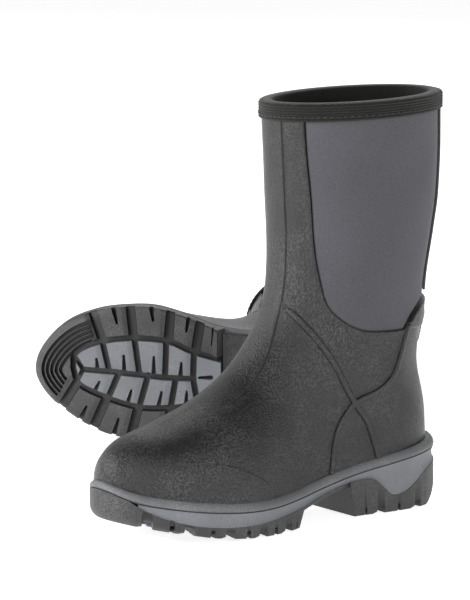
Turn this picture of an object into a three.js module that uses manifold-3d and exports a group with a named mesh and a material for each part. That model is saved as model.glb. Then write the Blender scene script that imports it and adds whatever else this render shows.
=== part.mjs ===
// A pair of half-height rubber and neoprene boots. The left boot stands and the right one lies on its outer
// side behind it. Each boot is modelled in its own frame: x runs forward from the back of the heel, y points
// to the outer side, z is up and the tread's lowest point is at z = 0. All sizes are millimetres.
import * as THREE from 'three';
import { mergeVertices } from 'three/addons/utils/BufferGeometryUtils.js';
import Module from 'manifold-3d';

const wasm = await Module();
wasm.setup();

// Driving dimensions of one boot
const SOLE_LENGTH = 295;
const HEEL_ROUND = 48; // length of the rounded back end of the sole, seen from above
const TOE_ROUND = 60; // length of the rounded front end
const TOE_SPRING = 19; // rise of the tread below the tip of the toe
const SPRING_START = 165; // where the tread starts to rise
const TOP_SPRING_SHARE = 0.8; // how much of that rise the top of the sole follows
const RIM_HEIGHT = 6; // rim at the top of the side wall
const RIM_LIP = 3; // how far the rim stands out past the upper
const LUG_DEPTH = 5;
const LUG_BITE = 0.2; // how far the lugs reach into the tread they are joined to
const HEEL_BREAST = 97; // front face of the heel block
const FOREFOOT_START = 143; // back end of the forefoot tread
const HEEL_CURL = 13; // radius of the heel's lower back corner
const UPPER_BACK = 7; // back of the upper where it meets the sole
const UPPER_BACK_ROUND = 46; // length over which the back of the foot is rounded
const NOSE_CUT = SOLE_LENGTH - 9; // where the rounded nose of the upper starts
const PULL_START = 200; // in front of this, deeper layers of the upper draw back from the toe
const PUSH_LENGTH = 60; // near the heel, deeper layers move forward over this length
const COLLAR_HEIGHT = 302; // raw top edge of the shaft, under its binding
const GAP = 0.3; // clearance between pieces that touch
const SEAT_GAP = 0.9; // clearance of the upper above the sole, whose faces are cut at other places
const SHELL_THICKNESS = 2.2; // rubber of the foot and the neoprene panels
const LINING_THICKNESS = 3.5;
const OVERLAY_THICKNESS = 1.2; // rubber strips laid over the shell
const FAR = 400; // longer than any piece, for cutting prisms

// Placement of the pair
const LEFT_TURN = 220.7; // degrees, direction of the left toe
const RIGHT_HEEL = { x: -21.6, y: 183.6, z: 53.52 };
const RIGHT_TILT = 1.08; // degrees that the lying boot's shaft tips down, so its collar touches the floor
const CENTRE = { x: 152.8, y: -143.5 }; // moves the middle of the pair's box to the origin

// Finishes: colour, roughness and metalness
const RUBBER = [0x3f4040, 0.55, 0];
const TREAD_RUBBER = [0x38393b, 0.6, 0];
const GREY_RUBBER = [0x6f7277, 0.65, 0];
const NEOPRENE = [0x5f5d66, 0.9, 0];
const BLACK_NEOPRENE = [0x1b1b1c, 0.95, 0];
const WEBBING = [0x35352f, 0.9, 0];
const BOARD = [0x8a7a60, 0.8, 0];
const STEEL = [0x9a9da0, 0.35, 1];

// Profile helpers
const clamp = (value, low, high) => Math.min(Math.max(value, low), high);
const mix = (a, b, share) => a + (b - a) * share;
const easeInOut = (share) => share * share * (3 - 2 * share);
const range = (count) => Array.from({ length: count }, (_, i) => i);
const radians = THREE.MathUtils.degToRad;

// A smooth curve y(x) through points in order of x, level beyond its ends
function curveThrough(points) {
  const slopes = points.map((_, i) => {
    const before = points[Math.max(i - 1, 0)];
    const after = points[Math.min(i + 1, points.length - 1)];
    return (after[1] - before[1]) / (after[0] - before[0]);
  });
  return (x) => {
    const place = clamp(x, points[0][0], points.at(-1)[0]);
    const next = Math.max(points.findIndex((point) => point[0] >= place), 1);
    const [x0, y0] = points[next - 1];
    const [x1, y1] = points[next];
    const span = x1 - x0;
    const u = (place - x0) / span;
    const rise = slopes[next - 1] * span * u * (1 - u) ** 2 - slopes[next] * span * u * u * (1 - u);
    return mix(y0, y1, easeInOut(u)) + rise;
  };
}

// Grows from 0 to 1 over the given length like a quarter of an ellipse
function roundEnd(distance, length) {
  const rest = 1 - clamp(distance / length, 0, 1);
  return Math.sqrt(1 - rest * rest);
}

// Outline of the sole: half widths to the outer (side 1) and inner (side -1) edge, before its ends are rounded
const outerEdge = curveThrough([[60, 37], [95, 34.5], [125, 37.5], [150, 43.5], [175, 50], [200, 53.6], [225, 51],
  [250, 45], [268, 40.5], [282, 38], [295, 34]]);
const innerEdge = curveThrough([[60, 37], [95, 34.3], [125, 33], [150, 37.5], [175, 47], [200, 53.2], [225, 52.6],
  [250, 49], [268, 47], [282, 44], [295, 40]]);

function edgeDistance(x, side, inset) {
  const edge = side > 0 ? outerEdge(x) : innerEdge(x);
  return (edge - inset) * roundEnd(SOLE_LENGTH - inset - x, TOE_ROUND);
}

const soleHalfWidth = (x, side, inset) => edgeDistance(x, side, inset) * roundEnd(x - inset, HEEL_ROUND);

// Heights along the sole
const toeSpring = (x) => TOE_SPRING * (Math.max(0, x - SPRING_START) / (SOLE_LENGTH - SPRING_START)) ** 2;
const rimTop = curveThrough([[0, 48], [40, 44], [80, 38.5], [120, 31.5], [150, 27], [180, 25], [268, 25],
  [282, 26.5], [295, 31]]);
const soleTop = (x) => rimTop(x) + TOP_SPRING_SHARE * toeSpring(x);
const rimBottom = (x) => soleTop(x) - RIM_HEIGHT;
const lugRoot = (x) => toeSpring(x) + LUG_DEPTH;
// The lower edge of the grey midsole, with the tongue that dips into the heel
const greyEdge = curveThrough([[0, 32], [10, 31], [26, 26], [39, 18.4], [50, 13.2], [60, 13.2], [67, 19.5],
  [75, 26], [84, 27], [100, 25.5], [119, 22], [148, 14.6], [184, 10.6], [209, 10.6], [231, 12.4], [254, 17.5],
  [272, 25], [284, 34], [295, 46]]);

// Back of the upper as x(z)
const backLine = curveThrough([[47, 7], [72, 8.5], [104, 15], [130, 13.8], [150, 12], [173, 9.4], [205, 4],
  [228, 0], [260, -1.5], [310, -1.8]]);

// Cuts across the upper from the toe to the collar. Each runs from its foot, a point on the sole (x) or on the
// back line (z), to its crest on the vamp or the shin [x, z]. outer, inner and crestWidth are half widths at the
// foot and the crest, crestRound and backRound are the lengths over which the ends of the cut are rounded.
const onSole = (x, crest, crestRound, crestWidth) => {
  const outer = edgeDistance(Math.min(x, NOSE_CUT), 1, RIM_LIP);
  const inner = edgeDistance(Math.min(x, NOSE_CUT), -1, RIM_LIP);
  const foot = [x, soleTop(x) + SEAT_GAP];
  const width = crestWidth ?? mix(outer, inner, 0.5);
  return { foot, crest, crestRound, crestWidth: width, outer, inner, backRound: UPPER_BACK_ROUND };
};
const onBack = (z, crest, crestRound, crestWidth, width, backRound) => ({
  foot: [backLine(z), z],
  crest,
  crestRound,
  crestWidth,
  outer: width,
  inner: width,
  backRound,
});
const UPPER_TIP = SOLE_LENGTH - RIM_LIP;
const CUTS = [
  onSole(UPPER_TIP, [UPPER_TIP, 54], 12),
  onSole(NOSE_CUT, [285, 65], 19),
  onSole(270, [268, 74], 33),
  onSole(240, [240, 81], 46),
  onSole(205, [205, 93], 60),
  onSole(165, [176, 111], 70),
  onSole(115, [158, 131], 72, 38),
  onSole(60, [147, 150], 74, 40),
  onSole(20, [141.5, 168], 80, 42),
  onBack(soleTop(UPPER_BACK) + SEAT_GAP, [139.5, 184], 86, 43, 34.5, UPPER_BACK_ROUND),
  onBack(72, [139, 198], 88, 44, 35, 50),
  onBack(104, [139, 214], 82, 44.5, 38, 60),
  onBack(150, [140, 232], 76, 45.5, 42, 64),
  onBack(205, [141.5, 258], 74, 46.3, 45, 69),
  onBack(COLLAR_HEIGHT, [144, COLLAR_HEIGHT - 2], 72.9, 47.2, 47.2, 72.9),
];
const BACK_CUT = 9; // the first cut on the back line, where both edges of the upper meet
const LAST_CUT = CUTS.length - 1;

const cutCurve = (read) => curveThrough(CUTS.map((cut, i) => [i, read(cut)]));
const footX = cutCurve((cut) => cut.foot[0]);
const footZ = cutCurve((cut) => cut.foot[1]);
const crestX = cutCurve((cut) => cut.crest[0]);
const crestZ = cutCurve((cut) => cut.crest[1]);
const outerWidth = cutCurve((cut) => cut.outer);
const innerWidth = cutCurve((cut) => cut.inner);
const crestWidth = cutCurve((cut) => cut.crestWidth);
const crestRound = cutCurve((cut) => cut.crestRound);
const backRound = cutCurve((cut) => cut.backRound);

// A point of the upper. cut runs from 0 at the toe to LAST_CUT at the collar, turn from -1 at the inner foot of
// the cut over 0 at its crest to 1 at the outer foot, and inset is the depth below the outer face.
function upperPoint(cut, turn, inset) {
  const pullBack = (x) => x - inset * easeInOut(clamp((x - PULL_START) / (UPPER_TIP - PULL_START), 0, 1));
  const onSoleEdge = cut <= BACK_CUT;
  const pushOn = (x) => x + inset * (1 - easeInOut(clamp((x - UPPER_BACK) / PUSH_LENGTH, 0, 1)));
  const footPlaceX = onSoleEdge ? pullBack(pushOn(footX(cut))) : backLine(footZ(cut)) + inset;
  const footPlaceZ = onSoleEdge ? soleTop(footPlaceX) + SEAT_GAP : footZ(cut);
  const foot = new THREE.Vector2(footPlaceX, footPlaceZ);
  const crest = new THREE.Vector2(pullBack(crestX(cut)), crestZ(cut));
  const along = foot.clone().sub(crest).normalize();
  crest.addScaledVector(along, inset);
  const length = foot.distanceTo(crest);
  const closed = easeInOut(clamp(cut - (BACK_CUT - 2), 0, 1));
  const side = Math.abs(turn);
  const open = 1 - Math.cos((side * Math.PI) / 2);
  const depth = mix(open, (1 - Math.cos(side * Math.PI)) / 2, closed);
  const place = crest.clone().addScaledVector(along, length * depth);
  const footWidth = turn > 0 ? outerWidth(cut) : innerWidth(cut);
  const width = mix(crestWidth(cut), footWidth, easeInOut(depth)) - inset * easeInOut(clamp(cut, 0, 1));
  const nose = roundEnd(UPPER_TIP - inset - place.x, TOE_ROUND) / roundEnd(UPPER_TIP - NOSE_CUT, TOE_ROUND);
  const fromBack = place.x - backLine(place.y) - inset;
  const atBack = side === 1 && cut >= BACK_CUT;
  const half = atBack ? 0 : Math.max(width, 0) * roundEnd(length * depth, crestRound(cut) - inset)
    * roundEnd(fromBack, backRound(cut) - inset) * (cut < 1 ? Math.min(nose, 1) : 1);
  return [place.x, Math.sign(turn) * half, place.y];
}

// Solids
function solid(geometry) {
  const bare = geometry.clone();
  bare.deleteAttribute('normal');
  bare.deleteAttribute('uv');
  const merged = mergeVertices(bare, 1e-4);
  const corners = merged.index.array;
  const kept = [];
  for (let i = 0; i < corners.length; i += 3) {
    const [a, b, c] = corners.slice(i, i + 3);
    if (a !== b && b !== c && c !== a) kept.push(a, b, c);
  }
  return new wasm.Manifold(new wasm.Mesh({
    numProp: 3,
    vertProperties: new Float32Array(merged.attributes.position.array),
    triVerts: new Uint32Array(kept),
  }));
}

function geometryOf(manifold) {
  const mesh = manifold.getMesh();
  const geometry = new THREE.BufferGeometry();
  geometry.setAttribute('position', new THREE.BufferAttribute(new Float32Array(mesh.vertProperties), 3));
  geometry.setIndex(new THREE.BufferAttribute(new Uint32Array(mesh.triVerts), 1));
  const faceted = geometry.toNonIndexed();
  faceted.computeVertexNormals();
  return faceted;
}

const EVERYWHERE = [[-FAR, -FAR], [FAR, -FAR], [FAR, FAR], [-FAR, FAR]];
const shapeOf = (points) => new THREE.Shape(points.map(([x, y]) => new THREE.Vector2(x, y)));

// A prism standing on a plan outline [x, y]
function planPrism(points, bottom = -FAR / 2, top = FAR) {
  const geometry = new THREE.ExtrudeGeometry(shapeOf(points), { depth: top - bottom, bevelEnabled: false });
  geometry.translate(0, 0, bottom);
  return solid(geometry);
}

// A prism lying across a side outline [x, z], between two places along y
function sidePrism(points, yFrom = -FAR / 2, yTo = FAR / 2) {
  const geometry = new THREE.ExtrudeGeometry(shapeOf(points), { depth: yTo - yFrom, bevelEnabled: false });
  geometry.rotateX(Math.PI / 2);
  geometry.translate(0, yTo, 0);
  return solid(geometry);
}

// The plan outline of the sole, drawn in from its edge, with points closer together at both ends
function soleOutline(inset, count = 14) {
  const share = (i) => (1 - Math.cos((i * Math.PI) / count)) / 2;
  const places = range(count + 1).map((i) => mix(inset, SOLE_LENGTH - inset, share(i)));
  const outer = places.map((x) => [x, soleHalfWidth(x, 1, inset)]);
  const inner = places.slice(1, -1).map((x) => [x, -soleHalfWidth(x, -1, inset)]);
  return [...outer, ...inner.reverse()].reverse();
}

// An outline moved outward by a margin, or inward by a negative one
function grown(points, margin) {
  const outward = THREE.ShapeUtils.isClockWise(points.map(([x, y]) => ({ x, y }))) ? 1 : -1;
  return points.map(([x, y], i) => {
    const before = points.at(i - 1);
    const after = points[(i + 1) % points.length];
    const along = new THREE.Vector2(after[0] - before[0], after[1] - before[1]).normalize();
    return [x - along.y * margin * outward, y + along.x * margin * outward];
  });
}

// A side outline between two height curves. Inner corners lie on one common grid, so neighbours stay parallel.
function bandOutline(lower, upper, from, to, step = 9) {
  const grid = range(Math.ceil(SOLE_LENGTH / step) + 1).map((i) => i * step);
  const places = [from, ...grid.filter((x) => x > from + 1 && x < to - 1), to];
  return [...places.map((x) => [x, lower(x)]), ...places.map((x) => [x, upper(x)]).reverse()];
}

// A closed skin of the upper between two depths, open at the collar and along the sole
const CUT_PLACES = [0, 0.08, 0.35, 1, 2, 3, 4, 5, 6, 7, 8, 8.5, 9, 10, 11, 12, 13, 14];
const TURNS = 14;

function upperSkin(outerInset, innerInset) {
  const positions = [];
  const indices = [];
  const turns = range(TURNS + 1).map((j) => (2 * j) / TURNS - 1);
  const vertex = (layer, i, j) => (layer * CUT_PLACES.length + i) * turns.length + j;
  const quad = (a, b, c, d) => indices.push(a, c, b, a, d, c);
  for (const inset of [outerInset, innerInset]) {
    for (const cut of CUT_PLACES) {
      for (const turn of turns) positions.push(...upperPoint(cut, turn, inset));
    }
  }
  for (let i = 0; i + 1 < CUT_PLACES.length; i += 1) {
    for (let j = 0; j < TURNS; j += 1) {
      quad(vertex(0, i, j), vertex(0, i + 1, j), vertex(0, i + 1, j + 1), vertex(0, i, j + 1));
      quad(vertex(1, i, j), vertex(1, i, j + 1), vertex(1, i + 1, j + 1), vertex(1, i + 1, j));
    }
    if (CUT_PLACES[i] < BACK_CUT) {
      quad(vertex(0, i, 0), vertex(1, i, 0), vertex(1, i + 1, 0), vertex(0, i + 1, 0));
      quad(vertex(0, i, TURNS), vertex(0, i + 1, TURNS), vertex(1, i + 1, TURNS), vertex(1, i, TURNS));
    }
  }
  const last = CUT_PLACES.length - 1;
  for (let j = 0; j < TURNS; j += 1) {
    quad(vertex(0, last, j), vertex(1, last, j), vertex(1, last, j + 1), vertex(0, last, j + 1));
  }
  const geometry = new THREE.BufferGeometry();
  geometry.setAttribute('position', new THREE.Float32BufferAttribute(positions, 3));
  geometry.setIndex(indices);
  return solid(geometry);
}

// Side outline of the neoprene window in the rubber: shin edge, lower edge and the arch over the kick tab
const PANEL_EDGE = [[133, FAR], [132.7, 297], [130.5, 265], [128, 237], [125.6, 204], [122, 178], [117.4, 158],
  [108, 147], [94.4, 139], [77, 135.5], [48.7, 134], [40, 143], [27, 151], [5, 157], [-30, 158], [-30, FAR]];
const KICK_TAB = [[48, 133.6], [39.4, 142.4], [26.6, 150.4], [5, 156.4], [-30, 157.4], [-30, 131], [20, 131.5]];

function upperPieces() {
  const skin = upperSkin(0, SHELL_THICKNESS);
  const window = grown(PANEL_EDGE, -GAP);
  const lining = upperSkin(SHELL_THICKNESS + GAP, SHELL_THICKNESS + GAP + LINING_THICKNESS);
  return {
    rubber_shell: [skin.subtract(sidePrism(PANEL_EDGE)), RUBBER],
    outer_panel: [skin.intersect(sidePrism(window, GAP / 2)), NEOPRENE],
    inner_panel: [skin.intersect(sidePrism(window, -FAR / 2, -GAP / 2)), NEOPRENE],
    lining: [lining, BLACK_NEOPRENE],
  };
}

// A side outline of constant width along a path
function ribbon(path, width) {
  const curve = new THREE.SplineCurve(path.map(([x, z]) => new THREE.Vector2(x, z)));
  const count = path.length + 2;
  const edge = (offset) => range(count + 1).map((i) => {
    const point = curve.getPoint(i / count);
    const tangent = curve.getTangent(i / count);
    return [point.x - tangent.y * offset, point.y + tangent.x * offset];
  });
  return [...edge(width / 2), ...edge(-width / 2).reverse()];
}

const FRONT_BAND = [[136, 148.5], [118.3, 123], [103.5, 98.3], [93.8, 84], [80.9, 68], [70, 40]];
const REAR_BAND = [[45.5, 131], [52, 115.5], [61, 99], [74, 90], [93.8, 84], [105, 70.2], [109.5, 57], [112, 34]];
const BAND_WIDTH = 4.5;
const BAND_CLEAR = 11.5; // the bands stop this far from the middle, beside the shin strip
const TOE_CAP = [[171, 20], [179, 36.8], [194, 46.4], [210, 53.5], [230, 57.5], [248, 60.5], [262, 67],
  [270, 78], [272, 95], [FAR, 95], [FAR, 0], [171, 0]];
const SHIN_STRIP = [[100, -10], [100, 10], [142, 11], [158, 16], [176, 19], [196, 16], [208, 0.8],
  [208, -0.8], [196, -16], [176, -19], [158, -16], [142, -11]];
const STRIP_TOP = COLLAR_HEIGHT - 15; // the strips end just under the binding
const SHIN_STRIP_BOTTOM = 60;
const STAY_BOTTOM = 160;
const STAY_STEPS = 8;
const STAY_DEPTH = 8; // how far the back stay reaches forward round the shaft
const KICK_TAB_THICKNESS = 2.7;

function overlayPieces() {
  const layer = upperSkin(-GAP - OVERLAY_THICKNESS, -GAP);
  const thickLayer = upperSkin(-GAP - KICK_TAB_THICKNESS, -GAP);
  const strip = layer.intersect(planPrism(SHIN_STRIP, SHIN_STRIP_BOTTOM, STRIP_TOP));
  const stayLine = (z) => backLine(z) + STAY_DEPTH;
  const stayHeights = range(STAY_STEPS + 1).map((i) => mix(STAY_BOTTOM, STRIP_TOP, i / STAY_STEPS));
  const stayOutline = [...stayHeights.map((z) => [stayLine(z), z]), [-FAR, STRIP_TOP], [-FAR, STAY_BOTTOM]];
  const bands = sidePrism(ribbon(FRONT_BAND, BAND_WIDTH)).add(sidePrism(ribbon(REAR_BAND, BAND_WIDTH)));
  const bandLayer = layer.intersect(bands);
  const outerHalf = sidePrism(EVERYWHERE, BAND_CLEAR, FAR / 2);
  const innerHalf = sidePrism(EVERYWHERE, -FAR / 2, -BAND_CLEAR);
  return {
    toe_cap: [layer.intersect(sidePrism(TOE_CAP)), RUBBER],
    shin_strip: [strip, RUBBER],
    back_stay: [layer.intersect(sidePrism(stayOutline)), RUBBER],
    kick_tab: [thickLayer.intersect(sidePrism(KICK_TAB)), RUBBER],
    outer_ankle_bands: [bandLayer.intersect(outerHalf), RUBBER],
    inner_ankle_bands: [bandLayer.intersect(innerHalf), RUBBER],
  };
}

// Webbing folded over the top edge: [depth into the wall, height above the raw edge]
const BINDING_HEIGHT = 13;
const BINDING_PROFILE = [[-1.8, 3 - BINDING_HEIGHT], [-1.8, 1.6], [-0.8, 3], [8, 3], [9, 1.6],
  [9, 3 - BINDING_HEIGHT], [7.6, 3 - BINDING_HEIGHT], [7.6, GAP], [-GAP, GAP], [-GAP, 3 - BINDING_HEIGHT]];

function collarBinding() {
  const steps = TURNS;
  const count = BINDING_PROFILE.length;
  const positions = [];
  const indices = [];
  for (let i = 0; i < steps; i += 1) {
    for (const [inset, rise] of BINDING_PROFILE) {
      const [x, y, z] = upperPoint(LAST_CUT, (2 * i) / steps - 1, inset);
      positions.push(x, y, z + rise);
    }
    for (let j = 0; j < count; j += 1) {
      const a = i * count + j;
      const b = i * count + ((j + 1) % count);
      const c = ((i + 1) % steps) * count + ((j + 1) % count);
      const d = ((i + 1) % steps) * count + j;
      indices.push(a, c, b, a, d, c);
    }
  }
  const geometry = new THREE.BufferGeometry();
  geometry.setAttribute('position', new THREE.Float32BufferAttribute(positions, 3));
  geometry.setIndex(indices);
  return { collar_binding: [solid(geometry), WEBBING] };
}

// Sole pieces: each is a plan outline cut by a side outline
function soleSlab(inset, lower, upper, from, to) {
  return planPrism(soleOutline(inset)).intersect(sidePrism(bandOutline(lower, upper, from, to)));
}

// The island of grey lugs in the forefoot tread
const INSERT_OUTLINE = [[266, -3], [262, -12], [250, -20], [230, -26.5], [210, -28], [186, -26], [166, -17],
  [147, -12], [147, 16], [166, 22], [186, 26], [210, 26], [230, 21.5], [250, 13], [262, 5]];
// A groove across the tread, as a leaning box in plan: middle, length, width and turn in degrees
function groove(x, y, length, width, turn) {
  const geometry = new THREE.BoxGeometry(width, length, FAR);
  geometry.rotateZ(radians(turn));
  geometry.translate(x, y, 0);
  return solid(geometry);
}

const union = (solids) => solids.reduce((sum, next) => sum.add(next));
const grooveSet = (places, size) => union(places.map(([x, y, turn]) => groove(x, y, size.length, size.width, turn)));
const RING_GROOVE = { length: 56, width: 6 };
const LUG_INSET = 0.5; // the side lugs stand this far inside the edge
const CHANNEL_WIDTH = 4; // channel between the side lugs and the grey island
const INSERT_GAP = 0.4;
const RIB_WIDTH = 2;
const treadTop = (x) => Math.min(greyEdge(x), rimBottom(x)) - GAP;
const OUTER_GROOVES = [[262, 30, 12], [233, 44, 4], [205, 50, 0], [179, 48, -6], [156, 38, -12]];
const INNER_GROOVES = [[247, -44, -18], [215, -50, -6], [184, -48, 4], [161, -40, 12]];
const RIBS = [7]; // grooves round the toe pad, measured in from the edge
const PAD_START = [[252, -70], [248, -30], [262, 8], [268, 70], [FAR, 70], [FAR, -70]];

function forefootTread() {
  const ring = planPrism(soleOutline(LUG_INSET)).subtract(planPrism(grown(INSERT_OUTLINE, CHANNEL_WIDTH)));
  const grooves = grooveSet([...OUTER_GROOVES, ...INNER_GROOVES], RING_GROOVE);
  const rib = (inset) => planPrism(soleOutline(inset)).subtract(planPrism(soleOutline(inset + RIB_WIDTH)));
  const ribs = union(RIBS.map(rib));
  const padCuts = ribs.intersect(planPrism(PAD_START));
  const lugZone = sidePrism(bandOutline(toeSpring, (x) => lugRoot(x) + LUG_BITE, FOREFOOT_START, SOLE_LENGTH + 1));
  const lugs = ring.subtract(grooves).subtract(padCuts).intersect(lugZone);
  const base = soleSlab(0, lugRoot, treadTop, FOREFOOT_START, SOLE_LENGTH + 1);
  return base.subtract(planPrism(grown(INSERT_OUTLINE, INSERT_GAP))).add(lugs);
}

const INSERT_GROOVES = [[244, 0, 4], [220, 0, -4], [193, 0, 0], [166.5, 0, 0]];
const INSERT_GROOVE = { length: 70, width: 5 };
const INSERT_RANGE = [140, 270];

function treadInsert() {
  const island = planPrism(INSERT_OUTLINE);
  const plate = island.intersect(sidePrism(bandOutline(lugRoot, (x) => greyEdge(x) - GAP, ...INSERT_RANGE)));
  const lugZone = sidePrism(bandOutline(toeSpring, (x) => lugRoot(x) + LUG_BITE, ...INSERT_RANGE));
  const spine = groove(212, -1, 4, 96, 2);
  const grooves = grooveSet(INSERT_GROOVES, INSERT_GROOVE);
  const lugs = planPrism(grown(INSERT_OUTLINE, -2)).subtract(grooves).subtract(spine).intersect(lugZone);
  return plate.add(lugs);
}

const HEEL_GROOVES = [36, 69];
const HEEL_GROOVE = { length: 36, width: 6, middle: 34, turn: 4 };
const HEEL_CHANNEL = { length: 60, width: 6, middle: 50 };

function heelTread() {
  const { length, width, middle, turn } = HEEL_GROOVE;
  const curl = (x) => HEEL_CURL * (1 - roundEnd(x, HEEL_CURL));
  const block = soleSlab(0, curl, treadTop, -1, HEEL_BREAST - GAP);
  const cuts = HEEL_GROOVES.flatMap((x) => [
    groove(x, middle, length, width, turn),
    groove(x, -middle, length, width, -turn),
  ]);
  const channel = groove(HEEL_CHANNEL.middle, 0, HEEL_CHANNEL.width, HEEL_CHANNEL.length, 0);
  const below = planPrism(EVERYWHERE, -FAR / 2, LUG_DEPTH);
  return block.subtract(union([...cuts, channel]).intersect(below));
}

const ARCH_THICKNESS = 5;
const ARCH_INSET = 4;
const OVAL = { x: 128, length: 22, width: 16, depth: 2 };
const MIDSOLE_INSET = 0.6;
const MIDSOLE_END = 279; // where the grey layer runs out under the toe
const SHANK = { width: 14, height: 2, start: HEEL_BREAST + 3, end: FOREFOOT_START - 4 };
const SHANK_SEAT = 0.1;
const SHANK_ROOM = 0.4;

function soleMiddle() {
  const oval = new THREE.CylinderGeometry(1, 1, FAR, 24);
  oval.rotateX(Math.PI / 2);
  oval.scale(OVAL.length / 2, OVAL.width / 2, 1);
  oval.translate(OVAL.x, 0, 0);
  const archBottom = (x) => greyEdge(x) - ARCH_THICKNESS;
  const dish = bandOutline(archBottom, (x) => archBottom(x) + OVAL.depth, HEEL_BREAST + 3, FOREFOOT_START - 1);
  const recess = solid(oval).intersect(sidePrism(dish));
  const plate = soleSlab(ARCH_INSET, archBottom, (x) => greyEdge(x) - GAP, HEEL_BREAST, FOREFOOT_START - GAP);
  const arch = plate.subtract(recess);
  const midsole = soleSlab(MIDSOLE_INSET, greyEdge, (x) => rimBottom(x) - GAP, -1, MIDSOLE_END);
  const above = (lift) => (x) => greyEdge(x) + lift;
  const shankOutline = bandOutline(above(SHANK_SEAT), above(SHANK_SEAT + SHANK.height), SHANK.start, SHANK.end);
  const shank = sidePrism(shankOutline, -SHANK.width / 2, SHANK.width / 2);
  const slotOutline = bandOutline(above(-1), above(SHANK_SEAT + SHANK_ROOM + SHANK.height),
    SHANK.start - SHANK_ROOM, SHANK.end + SHANK_ROOM);
  const slot = sidePrism(slotOutline, -SHANK.width / 2 - GAP, SHANK.width / 2 + GAP);
  return {
    arch_plate: [arch, TREAD_RUBBER],
    midsole: [midsole.subtract(slot), GREY_RUBBER],
    shank: [shank, STEEL],
    sole_rim: [soleSlab(0, rimBottom, soleTop, -1, SOLE_LENGTH + 1), GREY_RUBBER],
  };
}

// Plates inside the foot, clear of the lining
const INSIDE_INSET = 12;
const HEEL_CLEAR = 18; // where the plates start, in front of the lining at the heel
const TOE_CLEAR = SOLE_LENGTH - 5;
const BOARD_THICKNESS = 2;
const FOOTBED_THICKNESS = 5;

function insidePieces() {
  const bottom = (x) => soleTop(x) + GAP;
  const board = soleSlab(INSIDE_INSET, bottom, (x) => bottom(x) + BOARD_THICKNESS, HEEL_CLEAR, TOE_CLEAR);
  const floor = (x) => bottom(x) + GAP + BOARD_THICKNESS;
  const foam = (x) => floor(x) + FOOTBED_THICKNESS;
  const footbed = soleSlab(INSIDE_INSET + 1, floor, foam, HEEL_CLEAR + 1, TOE_CLEAR);
  return {
    insole_board: [board, BOARD],
    footbed: [footbed, BLACK_NEOPRENE],
  };
}

function bootPieces() {
  return {
    outsole_forefoot: [forefootTread(), TREAD_RUBBER],
    outsole_heel: [heelTread(), TREAD_RUBBER],
    tread_insert: [treadInsert(), GREY_RUBBER],
    ...soleMiddle(),
    ...insidePieces(),
    ...upperPieces(),
    ...overlayPieces(),
    ...collarBinding(),
  };
}

// One boot as a group of named meshes
function boot(side, pieces) {
  const group = new THREE.Group();
  for (const [name, { geometry, finish }] of pieces) {
    const [color, roughness, metalness] = finish;
    const mesh = new THREE.Mesh(geometry, new THREE.MeshStandardMaterial({ color, roughness, metalness }));
    mesh.name = `${side}_${name}`;
    group.add(mesh);
  }
  return group;
}

const pieces = Object.entries(bootPieces())
  .map(([name, [manifold, finish]]) => [name, { geometry: geometryOf(manifold), finish }]);

const leftBoot = boot('left', pieces);
leftBoot.rotation.z = radians(LEFT_TURN);

// The right boot is the left one mirrored, tipped onto its outer side and turned toe to the left
const rightBoot = boot('right', pieces);
rightBoot.scale.y = -1;
rightBoot.rotation.x = radians(90 + RIGHT_TILT);
const lying = new THREE.Group();
lying.add(rightBoot);
lying.rotation.z = Math.PI;
lying.position.set(RIGHT_HEEL.x, RIGHT_HEEL.y, RIGHT_HEEL.z);

const pair = new THREE.Group();
pair.add(leftBoot, lying);
pair.position.set(CENTRE.x, CENTRE.y, 0);
export default pair;
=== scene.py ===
"""The looks of a pair of half-height rubber and neoprene boots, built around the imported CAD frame.

Every piece is made once, in the frame of one boot and in millimetres: x runs forward from the back of the
heel, y points to the outer side, z is up. It is then placed as the left boot, and mirrored as the right one.
"""
import math

import bpy
import numpy as np
from mathutils import Matrix, Vector


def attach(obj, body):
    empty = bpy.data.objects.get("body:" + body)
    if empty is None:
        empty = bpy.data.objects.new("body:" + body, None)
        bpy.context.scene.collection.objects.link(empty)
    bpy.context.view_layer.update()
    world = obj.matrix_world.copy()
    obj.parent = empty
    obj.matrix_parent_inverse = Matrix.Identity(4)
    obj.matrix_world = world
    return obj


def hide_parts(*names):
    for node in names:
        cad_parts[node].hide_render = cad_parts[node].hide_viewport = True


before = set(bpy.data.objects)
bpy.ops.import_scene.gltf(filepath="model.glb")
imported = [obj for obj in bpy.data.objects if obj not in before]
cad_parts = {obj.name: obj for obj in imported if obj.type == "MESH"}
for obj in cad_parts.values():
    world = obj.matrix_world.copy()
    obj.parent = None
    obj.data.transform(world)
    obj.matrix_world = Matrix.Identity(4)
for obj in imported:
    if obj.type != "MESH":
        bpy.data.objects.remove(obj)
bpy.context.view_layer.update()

MM = 0.001

# Driving dimensions of one boot, as in the CAD
SOLE_LENGTH = 295
HEEL_ROUND = 48
TOE_ROUND = 60
TOE_SPRING = 19
SPRING_START = 165
TOP_SPRING_SHARE = 0.8
RIM_HEIGHT = 6
RIM_LIP = 3
LUG_DEPTH = 5
HEEL_BREAST = 97
FOREFOOT_START = 143
UPPER_BACK = 7
HEEL_CURL = 13
UPPER_BACK_ROUND = 46
NOSE_CUT = SOLE_LENGTH - 9
UPPER_TIP = SOLE_LENGTH - RIM_LIP
PULL_START = 200
PUSH_LENGTH = 60
COLLAR_HEIGHT = 302
GAP = 0.3
SEAT_GAP = 0.9
SHELL_THICKNESS = 2.2
LINING_THICKNESS = 3.5

# Placement of the pair, as in the CAD
LEFT_TURN = 220.7
RIGHT_HEEL = (-21.6, 183.6, 53.52)
RIGHT_TILT = 1.08
CENTRE = (152.8, -143.5, 0)

# How finely the surfaces are divided
SKIN_STEP = 3.0
SKIN_COLUMNS = 116
TREAD_STEP = 1.7
AROUND_SOLE = 220
AROUND_COLLAR = 168


# Profile helpers
def ease(share):
    return share * share * (3 - 2 * share)


def mix(a, b, share):
    return a + (b - a) * share


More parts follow.
